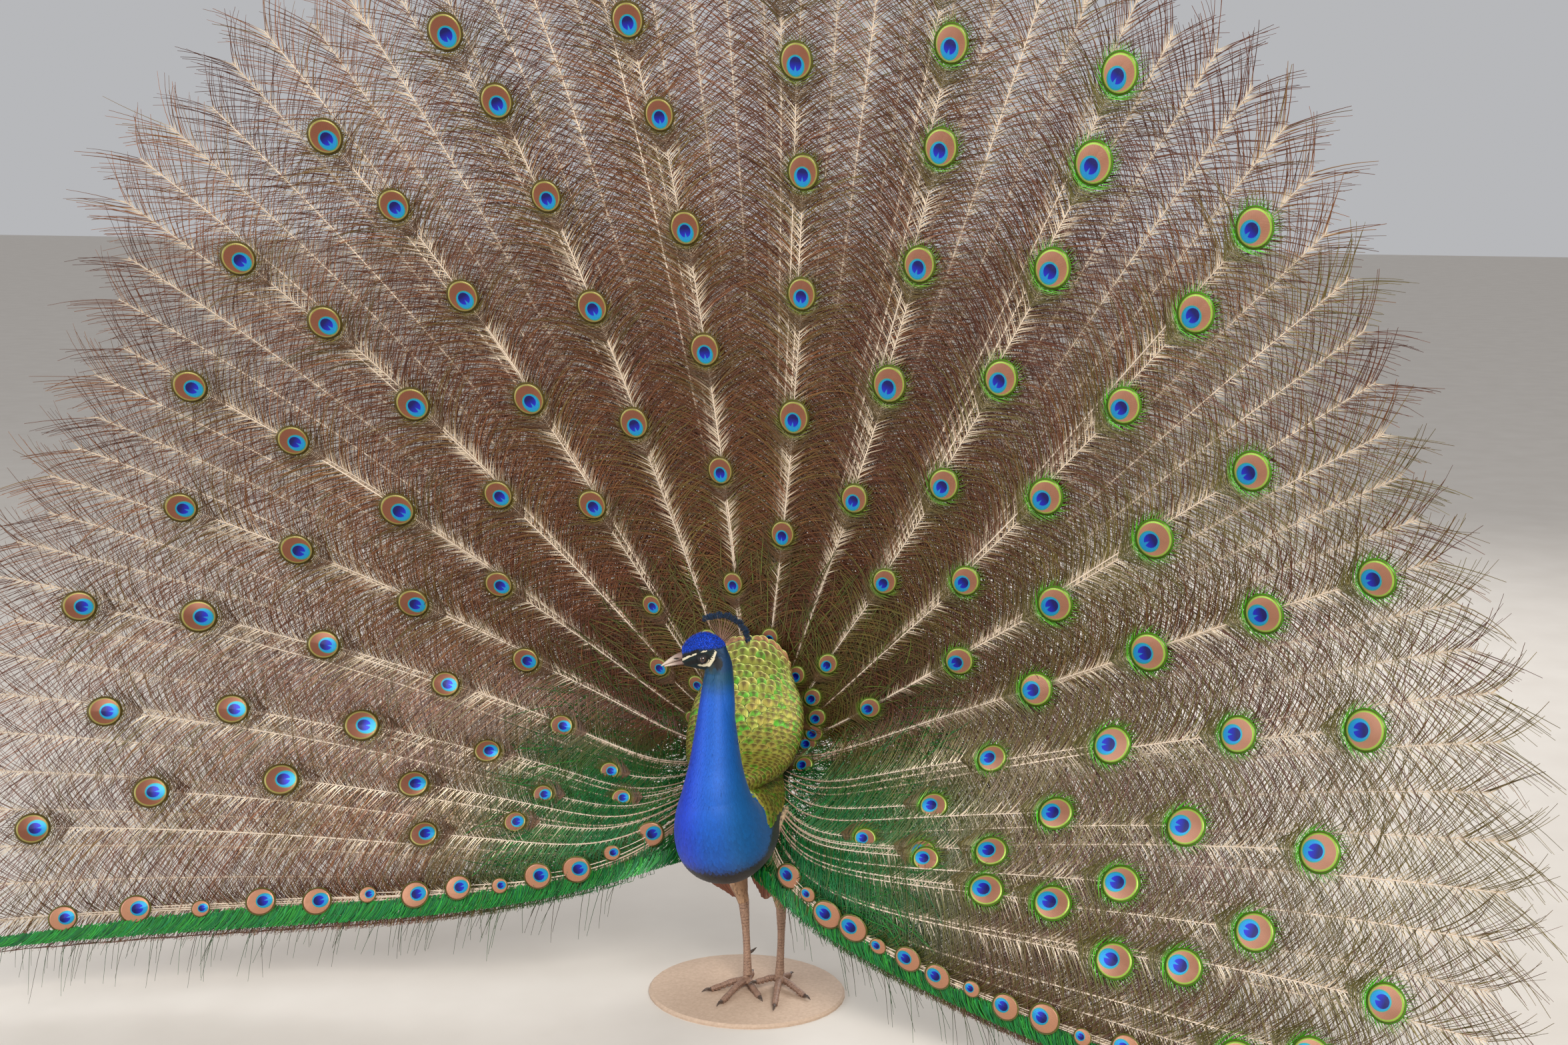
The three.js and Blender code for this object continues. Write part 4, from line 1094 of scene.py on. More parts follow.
for side in SIDES:
    for name in TOES[side]:
        path = toe_path(side, name)
        out = unit((path[3] - path[2]) * [1, 1, 0])
        root = path[3] - 0.0015 * out
        bow = root + out * CLAW_LONG * 0.55 + [0, 0, 0.0018]
        end = root + out * (CLAW_LONG + 0.002) + [0, 0, -0.0018]
        horn(f"nail_{side}_{name}", np.array([root, bow, end]), CLAW_RADII, f"claw_{side}_{name}")
    ankle, foot = ANKLES[side], FEET[side]
    share = 1 - (SPUR_LEVEL - foot[2] + SHIFT[2]) / (ankle[2] - foot[2])
    root = lerp(ankle, foot, share) + [0, 0.005, 0]
    end = root + np.array([-SIDES[side] * 0.012, 0.022, 0.004])
    bow = lerp(root, end, 0.5) + [0, 0, -0.002]
    horn(f"spur_horn_{side}", np.array([root, bow, end]), SPUR_RADII, f"spur_{side}")


# ---- Thigh plumage -----------------------------------------------------------------------------
# Soft buff feathers cover the thighs down to the ankle and lie downward, with fine dark speckling.
def thigh_paint(places):
    """Buff with brown speckles, darker and bluer at the top where the belly begins."""
    speckle = rng.random(len(places))
    paint = mix(np.broadcast_to(BUFF, places.shape), srgb(120, 88, 64), smooth((speckle - 0.55) / 0.4) * 0.6)
    return mix(paint, BELLY, smooth((places[:, 2] - SHIFT[2] - 0.30) / 0.02))


soft_plumage = Finish("soft_plumage", Roughness=0.7, Sheen_Weight=0.3, Sheen_Roughness=0.5)
soft_plumage.tinted(0.7, 0.6, 600.0)
sets = []
for side in SIDES:
    surface = thigh(side)
    t, turn, pitch = roots(surface, (0.01, 0.95), lambda t: lerp(0.0060, 0.0036, t))
    sets.append(vanes(surface, t, turn, pitch, 1, thigh_paint, COAT_DEPTH, long=3.4, sway=0.15, tone_spread_and_painted_shade=0.12))
lay_coat("thigh_feathers", soft_plumage, sets)


# ---- Train: webs of barbs ----------------------------------------------------------------------
# The long upper tail coverts stand in a wide dish behind the body. Each has a pale quill, loose barbs
# on both sides that cross those of its neighbours, and an eye near its tip. The longest have no eye
# and end in a fish tail. They are laid from behind to the front, the shorter ones over the longer.
TRAIN_ROOT = spot(-75, 190, 400)
TRAIN_LEAN = 0.08
TRAIN_UP = np.array([0, -np.sin(TRAIN_LEAN), np.cos(TRAIN_LEAN)])
TRAIN_OUT = np.array([0, -np.cos(TRAIN_LEAN), -np.sin(TRAIN_LEAN)])
TRAIN_LENGTH = 1.745
SECTORS = 12
# Height of the train's lower edge over the floor, by the bird's side: far out, rise at the root, over.
LOW_EDGE = {-1: (0.122, 0.172, 0.450), 1: (0.034, 0.262, 0.500)}


def dish_depth(r, turn):
    """How far the dish stands forward of its root plane: a bowl that curls forward at its low sides."""
    curl = smooth((np.abs(turn) - np.radians(65)) / np.radians(50))
    return (0.04 + 0.23 * np.sin(turn) ** 2) * r * r + 0.36 * np.tanh(r / 0.18) * curl


def dish(r, turn, offset=0.0):
    """Point of the train at distance r from its root, `turn` from straight up, `offset` to the front."""
    r, turn, offset = np.broadcast_arrays(r, turn, offset)
    side = np.zeros(r.shape + (3,))
    side[..., 0] = r * np.sin(turn)
    return (TRAIN_ROOT + side + (r * np.cos(turn))[..., None] * TRAIN_UP
            + (dish_depth(r, turn) + offset)[..., None] * TRAIN_OUT)


def low_edge(r, side):
    """Turn of the train's lower edge at distance r on one side, found by halving steps."""
    far, rise, over = LOW_EDGE[side]
    height = far + rise * np.exp(-((r / over) ** 1.3)) - 0.4
    turn = np.full(np.shape(r), np.radians(110))
    for _ in range(40):
        c = (height + dish_depth(r, turn) * np.sin(TRAIN_LEAN)) / (r * np.cos(TRAIN_LEAN))
        turn = (turn + np.arccos(np.clip(c, -1, 1))) / 2
    return side * turn


reach = np.linspace(0.02, 2.0, 400)
EDGE_TURNS = {side: low_edge(reach, side) for side in LOW_EDGE}


def fan_edges(r):
    """Turns of the two lower edges at distance r."""
    return np.interp(r, reach, EDGE_TURNS[-1]), np.interp(r, reach, EDGE_TURNS[1])


def edge_turn(r, side):
    """Turn of the lower edge at distance r, on the side that is given by place: -1 or 1."""
    first, last = fan_edges(r)
    return np.where(side > 0, last, first)


def fan_turn(u, r):
    """Turn at place u across the fan: 0 at the bird's right edge, 1 at its left."""
    first, last = fan_edges(np.maximum(r, 0.06))
    return first + (last - first) * u


def fan_place(turn, r):
    """Place u across the fan of a turn at distance r."""
    first, last = fan_edges(r)
    return (turn - first) / (last - first)


rim_places = np.linspace(0, 1, 145)
steps = np.linspace(0.001, 1.95, 300)
walk = dish(steps[None, :], fan_turn(rim_places[:, None], steps[None, :]))
walked = np.cumsum(np.linalg.norm(np.diff(walk, axis=1), axis=-1), axis=1)
RIM = np.array([np.interp(TRAIN_LENGTH, w, steps[1:]) for w in walked])


def rim(u):
    """Distance from the root at which a feather of full length ends, at place u."""
    return np.interp(u, rim_places, RIM)


# The eyes stand in crossing rows, like those of a sunflower: column i, row j. Their turn and distance
# are smooth functions of both.
EYE_ROWS = {
    -13: [3], -12: [4], -11: [1], -10: [2, 4, 6, 8, 10], -9: [1, 3, 5, 7, 9],
    -8: [0, 2, 4, 6, 8, 10], -7: [3, 5, 7, 9, 11], -6: [0, 4, 6, 8, 10, 12], -5: [1, 5, 7, 9, 11, 13],
    -4: [2, 4, 6, 8, 10, 12, 14], -3: [1, 5, 7, 9, 11, 13], -2: [2, 4, 6, 8, 10, 12, 14],
    -1: [1, 3, 5, 7, 9, 11, 13], 0: [0, 4, 6, 8, 10, 12, 14], 1: [1, 3, 5, 7, 9, 11, 13],
    2: [0, 4, 6, 8, 10, 12, 14], 3: [1, 3, 5, 7, 9, 11, 13], 4: [0, 4, 6, 8, 10, 12],
    5: [3, 5, 7, 9, 11, 13], 6: [2, 4, 6, 8, 10, 12], 7: [3, 5, 7, 9, 11], 8: [2, 4, 6, 8, 10],
    9: [1, 3, 5, 7, 9], 10: [0, 2],
}
pairs = np.array([(i, j) for i, rows in EYE_ROWS.items() for j in rows], float)
i, j = pairs.T
eye_turn = (0.4012 + 0.251 * i - 0.004317 * i**2 - 0.0008414 * i**3 - 0.007123 * j * i + 5.272e-5 * j * i**3
            + 0.0003146 * j**2 * i - 0.004952 * j - 0.0002942 * j**2 + 0.0003155 * j * i**2)
eye_reach = (0.169 + 0.09034 * j + 0.005421 * j**2 - 0.0003327 * j**3 + 0.002381 * i + 0.0005831 * i**2
             - 9.083e-6 * i**4 + 4.133e-5 * j * i + 0.0002984 * j * i**2 - 2.64e-5 * j**2 * i**2)
first, last = fan_edges(eye_reach)
clear = np.minimum(eye_turn - first, last - eye_turn) * eye_reach
place = fan_place(eye_turn, eye_reach)
kept = (clear > 0.075) & (eye_reach < rim(np.clip(place, 0, 1)) - 0.13) & (eye_reach > 0.20)
# The smallest eyes stand close round the back of the bird.
ring_turn = np.radians([-103, -82, -66, -40, -13, 9, 27, 43, 57, 72, 89, 106])
eye_turn = np.concatenate([eye_turn[kept], ring_turn])
eye_reach = np.concatenate([eye_reach[kept], 0.118 + 0.105 * np.maximum(np.cos(ring_turn), 0) ** 1.3])
inner_eyes = len(eye_turn)
# A close row of eyes follows each lower edge of the train.
for side, row in ((1, 0.19 + 0.046 * np.arange(18) + 0.0013 * np.arange(18) ** 2.0),
                  (-1, 0.15 + 0.056 * np.arange(14) + 0.0026 * np.arange(14) ** 2.0)):
    edge = low_edge(row, side)
    eye_turn = np.append(eye_turn, edge - side * (0.034 + 0.006 * (np.arange(len(row)) % 2)) / row)
    eye_reach = np.append(eye_reach, row)
eye_place = fan_place(eye_turn, eye_reach)
at_edge = np.arange(len(eye_turn)) >= inner_eyes

FISH_TAILS = 72
fish_place = (np.arange(FISH_TAILS) + 0.5) / FISH_TAILS
fish_reach = rim(fish_place) - 0.035 - 0.05 * rng.random(FISH_TAILS) ** 2
# Every feather: its place across the fan, the distance of its eye or tip, its height over the dish.
feather_place = np.concatenate([fish_place, eye_place])
feather_reach = np.concatenate([fish_reach, eye_reach])
has_eye = np.arange(len(feather_place)) >= FISH_TAILS
feather_off = np.where(has_eye, -0.006 + 0.022 * (1 - feather_reach / 1.7), -0.013)
feather_off = feather_off + rng.uniform(-0.0015, 0.0015, len(feather_off))
feather_hue = rng.random(len(feather_place))
feather_side = np.concatenate([np.zeros(FISH_TAILS, bool), at_edge])


ARCH = 0.17


def shaft_turn(place, distance, r):
    """Turn of a feather's quill at distance r: along the fan, arching out and down toward its tip."""
    turn = fan_turn(place, (np.minimum(r, distance) ** 4 + 0.2**4) ** 0.25)
    inside = np.clip(4 * place * (1 - place), 0, 1)
    return turn - ARCH * np.sin(turn) * inside * (1 - np.minimum(r / distance, 1)) * smooth(distance / 0.5)


def fan_paint(r, turn, hue):
    """Colour of the barbs by place on the fan: red-brown and bronze, olive in parts, emerald at the foot; the
    olive's rise toward the bird's left is painted iridescent reflection.
    """
    brown, bronze = srgb(84, 46, 30), srgb(126, 78, 46)
    green, plum, emerald = srgb(74, 96, 40), srgb(98, 66, 58), srgb(16, 104, 52)
    height = r * np.cos(turn)
    paint = mix(np.broadcast_to(brown, r.shape + (3,)), bronze, smooth(hue * 1.5 - 0.3))
    # More olive green toward the bird's left and lower down: painted iridescent reflection, with a random
    # share per feather.
    painted_iridescence = smooth((np.sin(turn) * 0.45 - 0.05 - height * 0.25 + (hue - 0.5) * 1.6) * 1.3)
    paint = mix(paint, green, painted_iridescence * 0.55)
    low = smooth((0.45 - height) / 0.5) * smooth((np.abs(r * np.sin(turn)) - 0.15) / 0.4)
    paint = mix(paint, plum, low * smooth(1.4 - hue * 1.4) * 0.8)
    foot = smooth((np.abs(turn) - np.radians(72)) / np.radians(20)) * smooth((0.62 - r) / 0.35)
    return mix(paint, emerald, foot * smooth(1.5 - hue))


def strips(middle, width, paint):
    """Flat strips along rows of places (strip, step): points, faces and colours."""
    count, steps = middle.shape[:2]
    run = unit(np.gradient(middle, axis=1))
    aside = unit(np.cross(run, TRAIN_OUT)) * (width / 2)[..., None]
    points = np.stack([middle - aside, middle + aside], 2).reshape(-1, 3)
    return points, grid_faces(count, steps, 2), np.repeat(paint.reshape(-1, 3), 2, axis=0)


def ribbons(r, turn, offset, width, paint):
    """Flat strips along rows of dish places (strip, step): points, faces and colours."""
    return strips(dish(r, turn, offset), width, paint)


def root_patch(r, turn, share, side):
    """Place on the unrolled dish of each point's root, with a patch 0.003 across."""
    u = 0.5 + r * np.sin(turn) / 3.6 + (side - 0.5) * 0.003
    v = 0.5 + r * np.cos(turn) / 3.6 + (share - 0.5) * 0.003
    return np.stack(np.broadcast_arrays(u, v), -1)


# Loose barbs along the quills: they leave the quill steeply, then bend outward.
BARB_GAP = 0.0055
BARB_STEPS = 6
barb_feather, barb_at, barb_side = [], [], []
for k, (distance, eyed) in enumerate(zip(feather_reach, has_eye)):
    stop = distance - (0.045 if eyed else 0.0)
    at = np.arange(0.16 if distance > 0.4 else 0.11, stop, BARB_GAP)
    for side in (-1, 1):
        barb_feather.append(np.full(len(at), k))
        barb_at.append(at + rng.uniform(-0.002, 0.002, len(at)))
        barb_side.append(np.full(len(at), side))
barb_feather = np.concatenate(barb_feather)
barb_at = np.concatenate(barb_at)
barb_side = np.concatenate(barb_side)
count = len(barb_at)
distance = feather_reach[barb_feather]
along = barb_at / distance
fish_end = smooth((along - 0.86) / 0.12) * ~has_eye[barb_feather]
barb_long = np.minimum(lerp(0.06, 0.140, smooth(barb_at / 0.7)), 0.04 + 0.45 * barb_at)
barb_long = barb_long * rng.uniform(0.82, 1.15, count) * lerp(1.0, 0.72, fish_end)
barb_long = barb_long * np.where(feather_side[barb_feather], 0.45, 1.0)
share = np.array([0, 0.07, 0.28, 0.52, 0.76, 1])[None, :]
lean_from = np.radians(rng.normal(37, 3, count))[:, None] - 0.18 * fish_end[:, None]
lean_to = np.radians(rng.normal(72, 8, count))[:, None] - 0.55 * fish_end[:, None]
lean = lean_from + (lean_to - lean_from) * share
pace = barb_long[:, None] * np.diff(share)
gone_out = np.concatenate([np.zeros((count, 1)), np.cumsum(np.sin(lean[:, 1:]) * pace, 1)], 1)
gone_up = np.concatenate([np.zeros((count, 1)), np.cumsum(np.cos(lean[:, 1:]) * pace, 1)], 1)
shaft = shaft_turn(feather_place[barb_feather], distance, barb_at)
r = barb_at[:, None] + gone_up
turn = shaft[:, None] + barb_side[:, None] * gone_out / r
first, last = fan_edges(r)
hang = 0.022 / r
turn = np.clip(turn, first - hang, last + hang)
sag = rng.normal(0, 0.0035, (count, 1)) * share**1.5
offset = feather_off[barb_feather][:, None] * smooth(r / 0.25) + sag
width = lerp(0.0017, 0.0007, share**0.8) * rng.uniform(0.75, 1.25, (count, 1))
hue = feather_hue[barb_feather][:, None] + rng.normal(0, 0.16, (count, 1)) + 0 * share
paint = fan_paint(r, turn, hue) * rng.uniform(0.55, 1.35, (count, 1, 1))
near_eye = smooth((barb_at - distance + 0.17) / 0.1)[:, None] * has_eye[barb_feather][:, None]
paint = mix(paint, srgb(96, 94, 42), near_eye * 0.5 + 0 * share)
pale = rng.uniform(0.02, 0.10, (count, 1)) * smooth(barb_at / 0.5)[:, None]
paint = mix(paint, srgb(226, 206, 178), smooth((pale + 0.02 - share) / 0.03))
sector = np.clip((feather_place[barb_feather] * SECTORS).astype(int), 0, SECTORS - 1)

barbs = Finish("train_barbs", Roughness=0.42, Metallic=0.25)
barbs.tinted(0.75, 0.5, 160.0, 2.0)
for number in range(SECTORS):
    pick = sector == number
    points, faces, colour = ribbons(r[pick], turn[pick], offset[pick], width[pick], paint[pick])
    patch = root_patch(barb_at[pick][:, None, None], shaft[pick][:, None, None], share[0][None, :, None],
                       np.array([0.0, 1.0])[None, None, :])
    patch = np.broadcast_to(patch, (pick.sum(), BARB_STEPS, 2, 2)).reshape(-1, 2)
    web = put_mesh(f"train_barbs_{number + 1:02d}", points, faces, colour, patch)
    dress(web, barbs, (f"train_{number + 1:02d}",))


# ---- Train: quills -----------------------------------------------------------------------------
# The pale horny shafts of the train feathers, thick at the root and drawn out fine to the eye.
QUILL_SIDES = 5
QUILL_STEPS = 40
quill_share = np.linspace(0, 1, QUILL_STEPS)[None, :] ** 0.8
quill_r = lerp(0.07, feather_reach[:, None], quill_share)
quill_turn = shaft_turn(feather_place[:, None], feather_reach[:, None], quill_r)
quill_off = feather_off[:, None] * smooth(quill_r / 0.25) + 0.0008
middle = dish(quill_r, quill_turn, quill_off)
run = unit(np.gradient(middle, axis=1))
aside = unit(np.cross(run, TRAIN_OUT))
front = np.cross(aside, run)
stout = 0.0008 + 0.0021 * np.minimum(feather_reach / 1.4, 1)[:, None]
thick = np.minimum(lerp(stout, 0.0007, quill_share**1.4), 0.0010 + 0.004 * quill_r)
ring = np.linspace(0, 2 * np.pi, QUILL_SIDES, False)
points = (middle[:, :, None] + (thick[..., None] * np.cos(ring))[..., None] * aside[:, :, None]
          + (thick[..., None] * np.sin(ring))[..., None] * front[:, :, None])
shade = rng.uniform(0.85, 1.1, (len(feather_place), 1, 1, 1))
tone = mix(srgb(196, 160, 136), srgb(232, 212, 190), smooth(quill_share / 0.6))[:, :, None, :]
colour = np.broadcast_to(tone * shade, points.shape).reshape(-1, 3)
patch = root_patch(quill_r[..., None], quill_turn[..., None], 0.5, (ring / (2 * np.pi))[None, None, :])
faces = grid_faces(len(feather_place), QUILL_STEPS, QUILL_SIDES, True)
quills = put_mesh("train_quills", points.reshape(-1, 3), faces, colour, patch.reshape(-1, 2))
dress(quills, quill_horn)


# ---- Train: eyes -------------------------------------------------------------------------------
# The closed oval webs near the feather tips: a gold-green edge, a bronze disc, a turquoise oval and a
# navy heart, notched toward the root. Each is a thin lens of tightly hooked barbs, slightly domed.
EYE_RINGS = np.array([0.0, 0.3, 0.55, 0.8, 1.0])
EYE_SPOKES = 24
eye_feather = np.flatnonzero(has_eye)
count = len(eye_feather)
eye_place = feather_place[eye_feather]
eye_reach = feather_reach[eye_feather]
eye_turn = shaft_turn(eye_place, eye_reach, eye_reach)
rightness = smooth((np.sin(eye_turn) * eye_reach + 0.1) / 0.9)
eye_size = lerp(0.0165, 0.031, smooth((eye_reach - 0.1) / 0.75)) + 0.0035 * rightness
eye_size = eye_size * rng.uniform(0.93, 1.07, len(eye_reach))
border_size = np.where(np.arange(count) % 3 == 1, 0.6, 1.0) * rng.uniform(0.023, 0.027, count)
on_border = feather_side[eye_feather]
eye_size = np.where(on_border, border_size, eye_size)
eye_off = feather_off[eye_feather] * smooth(eye_reach / 0.25) + np.where(on_border, 0.009, 0.0055)


def facing(places_reach, places_turn):
    """Two directions along and across the feather at each place, turned to the front near the root."""
    ahead = unit(dish(places_reach + 0.01, places_turn) - dish(places_reach - 0.01, places_turn))
    beside = unit(dish(places_reach, places_turn + 0.01) - dish(places_reach, places_turn - 0.01))
    turn_front = (0.75 * smooth((0.62 - places_reach) / 0.35))[:, None]
    ahead = unit(ahead - turn_front * (ahead @ TRAIN_OUT)[:, None] * TRAIN_OUT)
    beside = unit(beside - turn_front * (beside @ TRAIN_OUT)[:, None] * TRAIN_OUT)
    beside = unit(beside - (beside * ahead).sum(-1, keepdims=True) * ahead)
    return ahead, beside, unit(np.cross(beside, ahead))


eye_ahead, eye_beside, eye_normal = facing(eye_reach, eye_turn)
eye_middle = dish(eye_reach, eye_turn, eye_off)


def on_feather(ahead, beside, rise):
    """Places near the eyes from distances along and across the feather and above it (eye, row, column)."""
    return (eye_middle[:, None, None] + ahead[..., None] * eye_ahead[:, None, None]
            + beside[..., None] * eye_beside[:, None, None] + rise[..., None] * eye_normal[:, None, None])


spin = np.linspace(0, 2 * np.pi, EYE_SPOKES, False)
ahead = EYE_RINGS[:, None] * np.cos(spin)
beside = EYE_RINGS[:, None] * np.sin(spin)
dome = 0.10 * (1 - EYE_RINGS**2)[:, None] + 0 * ahead
size = eye_size[:, None, None]
EYE_LONG = 1.12
front_skin = on_feather(ahead * size * EYE_LONG, beside * size, dome * size)
back_skin = on_feather(ahead * size * EYE_LONG * 0.98, beside * size * 0.98, -0.0008 + 0 * dome * size)
shells = np.concatenate([front_skin, back_skin[:, ::-1]], axis=1)
faces = grid_faces(count, 2 * len(EYE_RINGS), EYE_SPOKES, True)
flat = np.concatenate([np.stack([beside, ahead], -1), np.stack([beside, ahead], -1)[::-1]])
shape = np.broadcast_to(flat * 0.5 + 0.5, (count,) + flat.shape).reshape(-1, 2)
side_of = np.concatenate([np.zeros(len(EYE_RINGS)), np.ones(len(EYE_RINGS))])
behind = np.broadcast_to(side_of[None, :, None], shells.shape[:3]).ravel()
cells = 16
cell = np.stack([np.arange(count) % cells, np.arange(count) // cells], -1)[:, None, None, :]
inside = 0.25 + 0.45 * (flat * 0.5 + 0.5) + 0 * flat
inside[len(EYE_RINGS):, :, 0] = 0.72 + 0.2 * inside[len(EYE_RINGS):, :, 0]
bake = ((cell + inside[None]) / cells).reshape(-1, 2)
each = shells.shape[1] * EYE_SPOKES
# Vivid: how far an eye's rings turn bright green. It is more toward the bird's left, as painted iridescent
# reflection, and more near the root.
vivid = np.repeat(np.clip(rightness * 0.8 + 0.35 * smooth((0.5 - eye_reach) / 0.4), 0, 1), each)
tanned = np.repeat(on_border * 1.0, each)
eyes = put_mesh("train_eyes", shells.reshape(-1, 3), faces, None, bake, [("Vane", shape)],
                [("Behind", behind), ("Vivid", vivid), ("Tan", tanned)])

eye_web = Finish("eye_web", Roughness=0.34, Metallic=0.35)
across, ahead = (w * 2 - 1 for w in eye_web.uv("Vane"))


def oval(x, y, at, wide, tall, soft):
    """1 inside an oval of a finish's plane, 0 outside, with a soft edge."""
    dx, dy = (x - at[0]) / wide, (y - at[1]) / tall
    return ((1 - (dx * dx + dy * dy).math("SQRT")) / soft + 0.5).clamp()


vivid = eye_web.attribute("Vivid")
grain = eye_web.noise(700.0, 2.0)
tan = eye_web.attribute("Tan")
# The Vivid share makes the edge, line, ring and disc brighter and greener: painted iridescent reflection
# toward the bird's left.
edge = eye_web.mix(vivid, srgb(104, 96, 42), srgb(78, 170, 24))
line = eye_web.mix(vivid, srgb(84, 58, 44), srgb(96, 92, 48))
ring = eye_web.mix(vivid, srgb(150, 142, 72), srgb(150, 200, 70))
disc = eye_web.mix(vivid, srgb(136, 84, 60), srgb(190, 136, 106))
disc = eye_web.mix(oval(across, ahead, (0, 0.5), 0.8, 0.75, 0.9) * (1 - tan) * 0.4, disc, srgb(108, 64, 50))
bright = eye_web.mix(tan, disc, srgb(182, 128, 98))
colour = eye_web.mix(tan, edge, srgb(120, 124, 58))
# From the rim inward: how far toward the tip, half width, half height, softness, colour.
for toward, wide, tall, soft, paint in (
    (0, 0.93, 0.93, 0.05, line),
    (0, 0.88, 0.88, 0.05, eye_web.mix(tan, ring, bright)),
    (-0.01, 0.80, 0.80, 0.05, bright),
    (-0.25, 0.53, 0.55, 0.08, srgb(10, 150, 140)),
    (-0.24, 0.47, 0.49, 0.10, srgb(26, 138, 200)),
):
    colour = eye_web.mix(oval(across, ahead, (0, toward), wide, tall, soft), colour, paint)
heart = oval(across, ahead, (0, -0.15), 0.35, 0.36, 0.08)
notch = ((0 - ahead) * 0.55 - 0.10 - across.math("ABSOLUTE") * 1.9).clamp()
heart = heart * (1 - (notch * 16).clamp())
deep = eye_web.mix(((0 - ahead) * 2.4).clamp(), srgb(14, 14, 92), srgb(28, 40, 190))
colour = eye_web.mix(heart, colour, deep)
threads = eye_web.sine((ahead - across.math("ABSOLUTE") * 0.9) * 90)
colour = eye_web.shade(colour, 0.80 + 0.36 * grain + 0.09 * threads)
dull = eye_web.shade(srgb(92, 74, 56), 0.7 + 0.6 * grain)
eye_web.set("Base Color", eye_web.mix(eye_web.attribute("Behind"), colour, dull))
eye_web.bump(threads, 0.0002, 0.2)
dress(eyes, eye_web)


# ---- Train: halos ------------------------------------------------------------------------------
# Round every eye the barbs stand close and loose at their ends: they rise from the quill under the
# eye and reach a finger's breadth past its edge, gold-green; their vivid green on the bird's left is painted
# iridescent reflection.
HALO_EACH = 30
HALO_STEPS = 5
spread = np.linspace(0.04, 1, HALO_EACH)
psi = np.concatenate([spread, -spread]) * np.radians(163)
count = len(eye_reach)
size = eye_size[:, None]
past = rng.uniform(0.30, 0.72, (count, len(psi))) * np.minimum(size, 0.03) + 0.004
start_ahead = lerp(0.7, -2.4, np.abs(psi) / np.radians(163))[None, :] * size
end_ahead = (size * EYE_LONG + past) * np.cos(psi)
end_beside = (size + past) * np.sin(psi)
s = np.linspace(0, 1, HALO_STEPS)[None, None, :]
middle_ahead = lerp(start_ahead, end_ahead, 0.35)[..., None]
ahead = (1 - s) ** 2 * start_ahead[..., None] + 2 * s * (1 - s) * middle_ahead + s**2 * end_ahead[..., None]
beside = 2 * s * (1 - s) * 0.72 * end_beside[..., None] + s**2 * end_beside[..., None]
rise = rng.uniform(-0.0024, -0.0010, (count, len(psi), 1)) + 0.0015 * s
middle = on_feather(ahead, beside, rise)
width = lerp(0.0018, 0.0007, s) * rng.uniform(0.8, 1.2, (count, len(psi), 1))
rank = np.hypot(ahead / (size[..., None] * EYE_LONG), beside / size[..., None])
glow = np.exp(-(((rank - 1.06) / 0.17) ** 2))
# A richer, more vivid green toward the bird's left: painted iridescent reflection.
rich = np.clip(rightness * 0.9, 0, 1)[:, None, None]
dull = mix(srgb(88, 62, 42), srgb(92, 88, 40), rich + 0 * glow)
shine = mix(srgb(108, 98, 40), srgb(66, 190, 22), rich + 0 * glow)
paint = mix(dull, shine, glow) * rng.uniform(0.6, 1.35, (count, len(psi), 1, 1))
inner = ~on_border
count = inner.sum()
flatten = (count * len(psi), HALO_STEPS)
points, faces, colour = strips(middle[inner].reshape(*flatten, 3), width[inner].reshape(flatten),
                               paint[inner].reshape(*flatten, 3))
patch = root_patch(eye_reach[inner][:, None, None, None], eye_turn[inner][:, None, None, None], s[..., None],
                   np.array([0.0, 1.0]))
patch = patch + (np.stack([np.abs(psi), np.sign(psi)], -1) * 0.0009)[None, :, None, None, :]
patch = np.broadcast_to(patch, (count, len(psi), HALO_STEPS, 2, 2)).reshape(-1, 2)
halos = put_mesh("train_halos", points, faces, colour, patch)
dress(halos, barbs)


# ---- Train: foot -------------------------------------------------------------------------------
# Short feathers without quills of note fill the foot of the fan on both sides of the body: soft
# emerald and bronze-green barbs that all point outward and hide the roots of the long quills.
FOOT_STEPS = 5
FOOT_BARBS = 5200
s = np.linspace(0, 1, FOOT_STEPS)[None, :]
at = 0.07 + 0.33 * rng.random((FOOT_BARBS, 1)) ** 1.2
place = rng.random((FOOT_BARBS, 1))
start_turn = fan_turn(place, at + 0.03)
long = rng.uniform(0.05, 0.11, (FOOT_BARBS, 1))
lean = rng.normal(0, 0.42, (FOOT_BARBS, 1))
foot_r = at + long * s * np.cos(lean)
foot_turn = start_turn + long * np.sin(lean) * (0.6 * s + 0.4 * s**2) / foot_r
first, last = fan_edges(foot_r)
foot_turn = np.clip(foot_turn, first + 0.004 / foot_r, last - 0.004 / foot_r)
foot_off = rng.uniform(-0.008, 0.010, (FOOT_BARBS, 1)) * smooth(at / 0.2) + 0.002 * s
width = lerp(0.0026, 0.0010, s) + 0 * at
side_share = smooth((np.abs(start_turn) - 0.9) / 0.6)
paint = mix(mix(srgb(94, 68, 48), srgb(86, 96, 40), rng.random((FOOT_BARBS, 1))),
            mix(srgb(12, 92, 48), srgb(44, 124, 48), rng.random((FOOT_BARBS, 1))), side_share)
paint = paint.reshape(FOOT_BARBS, 1, 3) * rng.uniform(0.5, 1.3, (FOOT_BARBS, 1, 1)) + 0 * s[..., None]
points, faces, colour = ribbons(foot_r, foot_turn, foot_off, width, paint)
patch = root_patch(at[..., None], start_turn[..., None], s[..., None], np.array([0.0, 1.0]))
foot_web = put_mesh("train_foot", points, faces, colour, patch.reshape(-1, 2))
dress(foot_web, barbs)


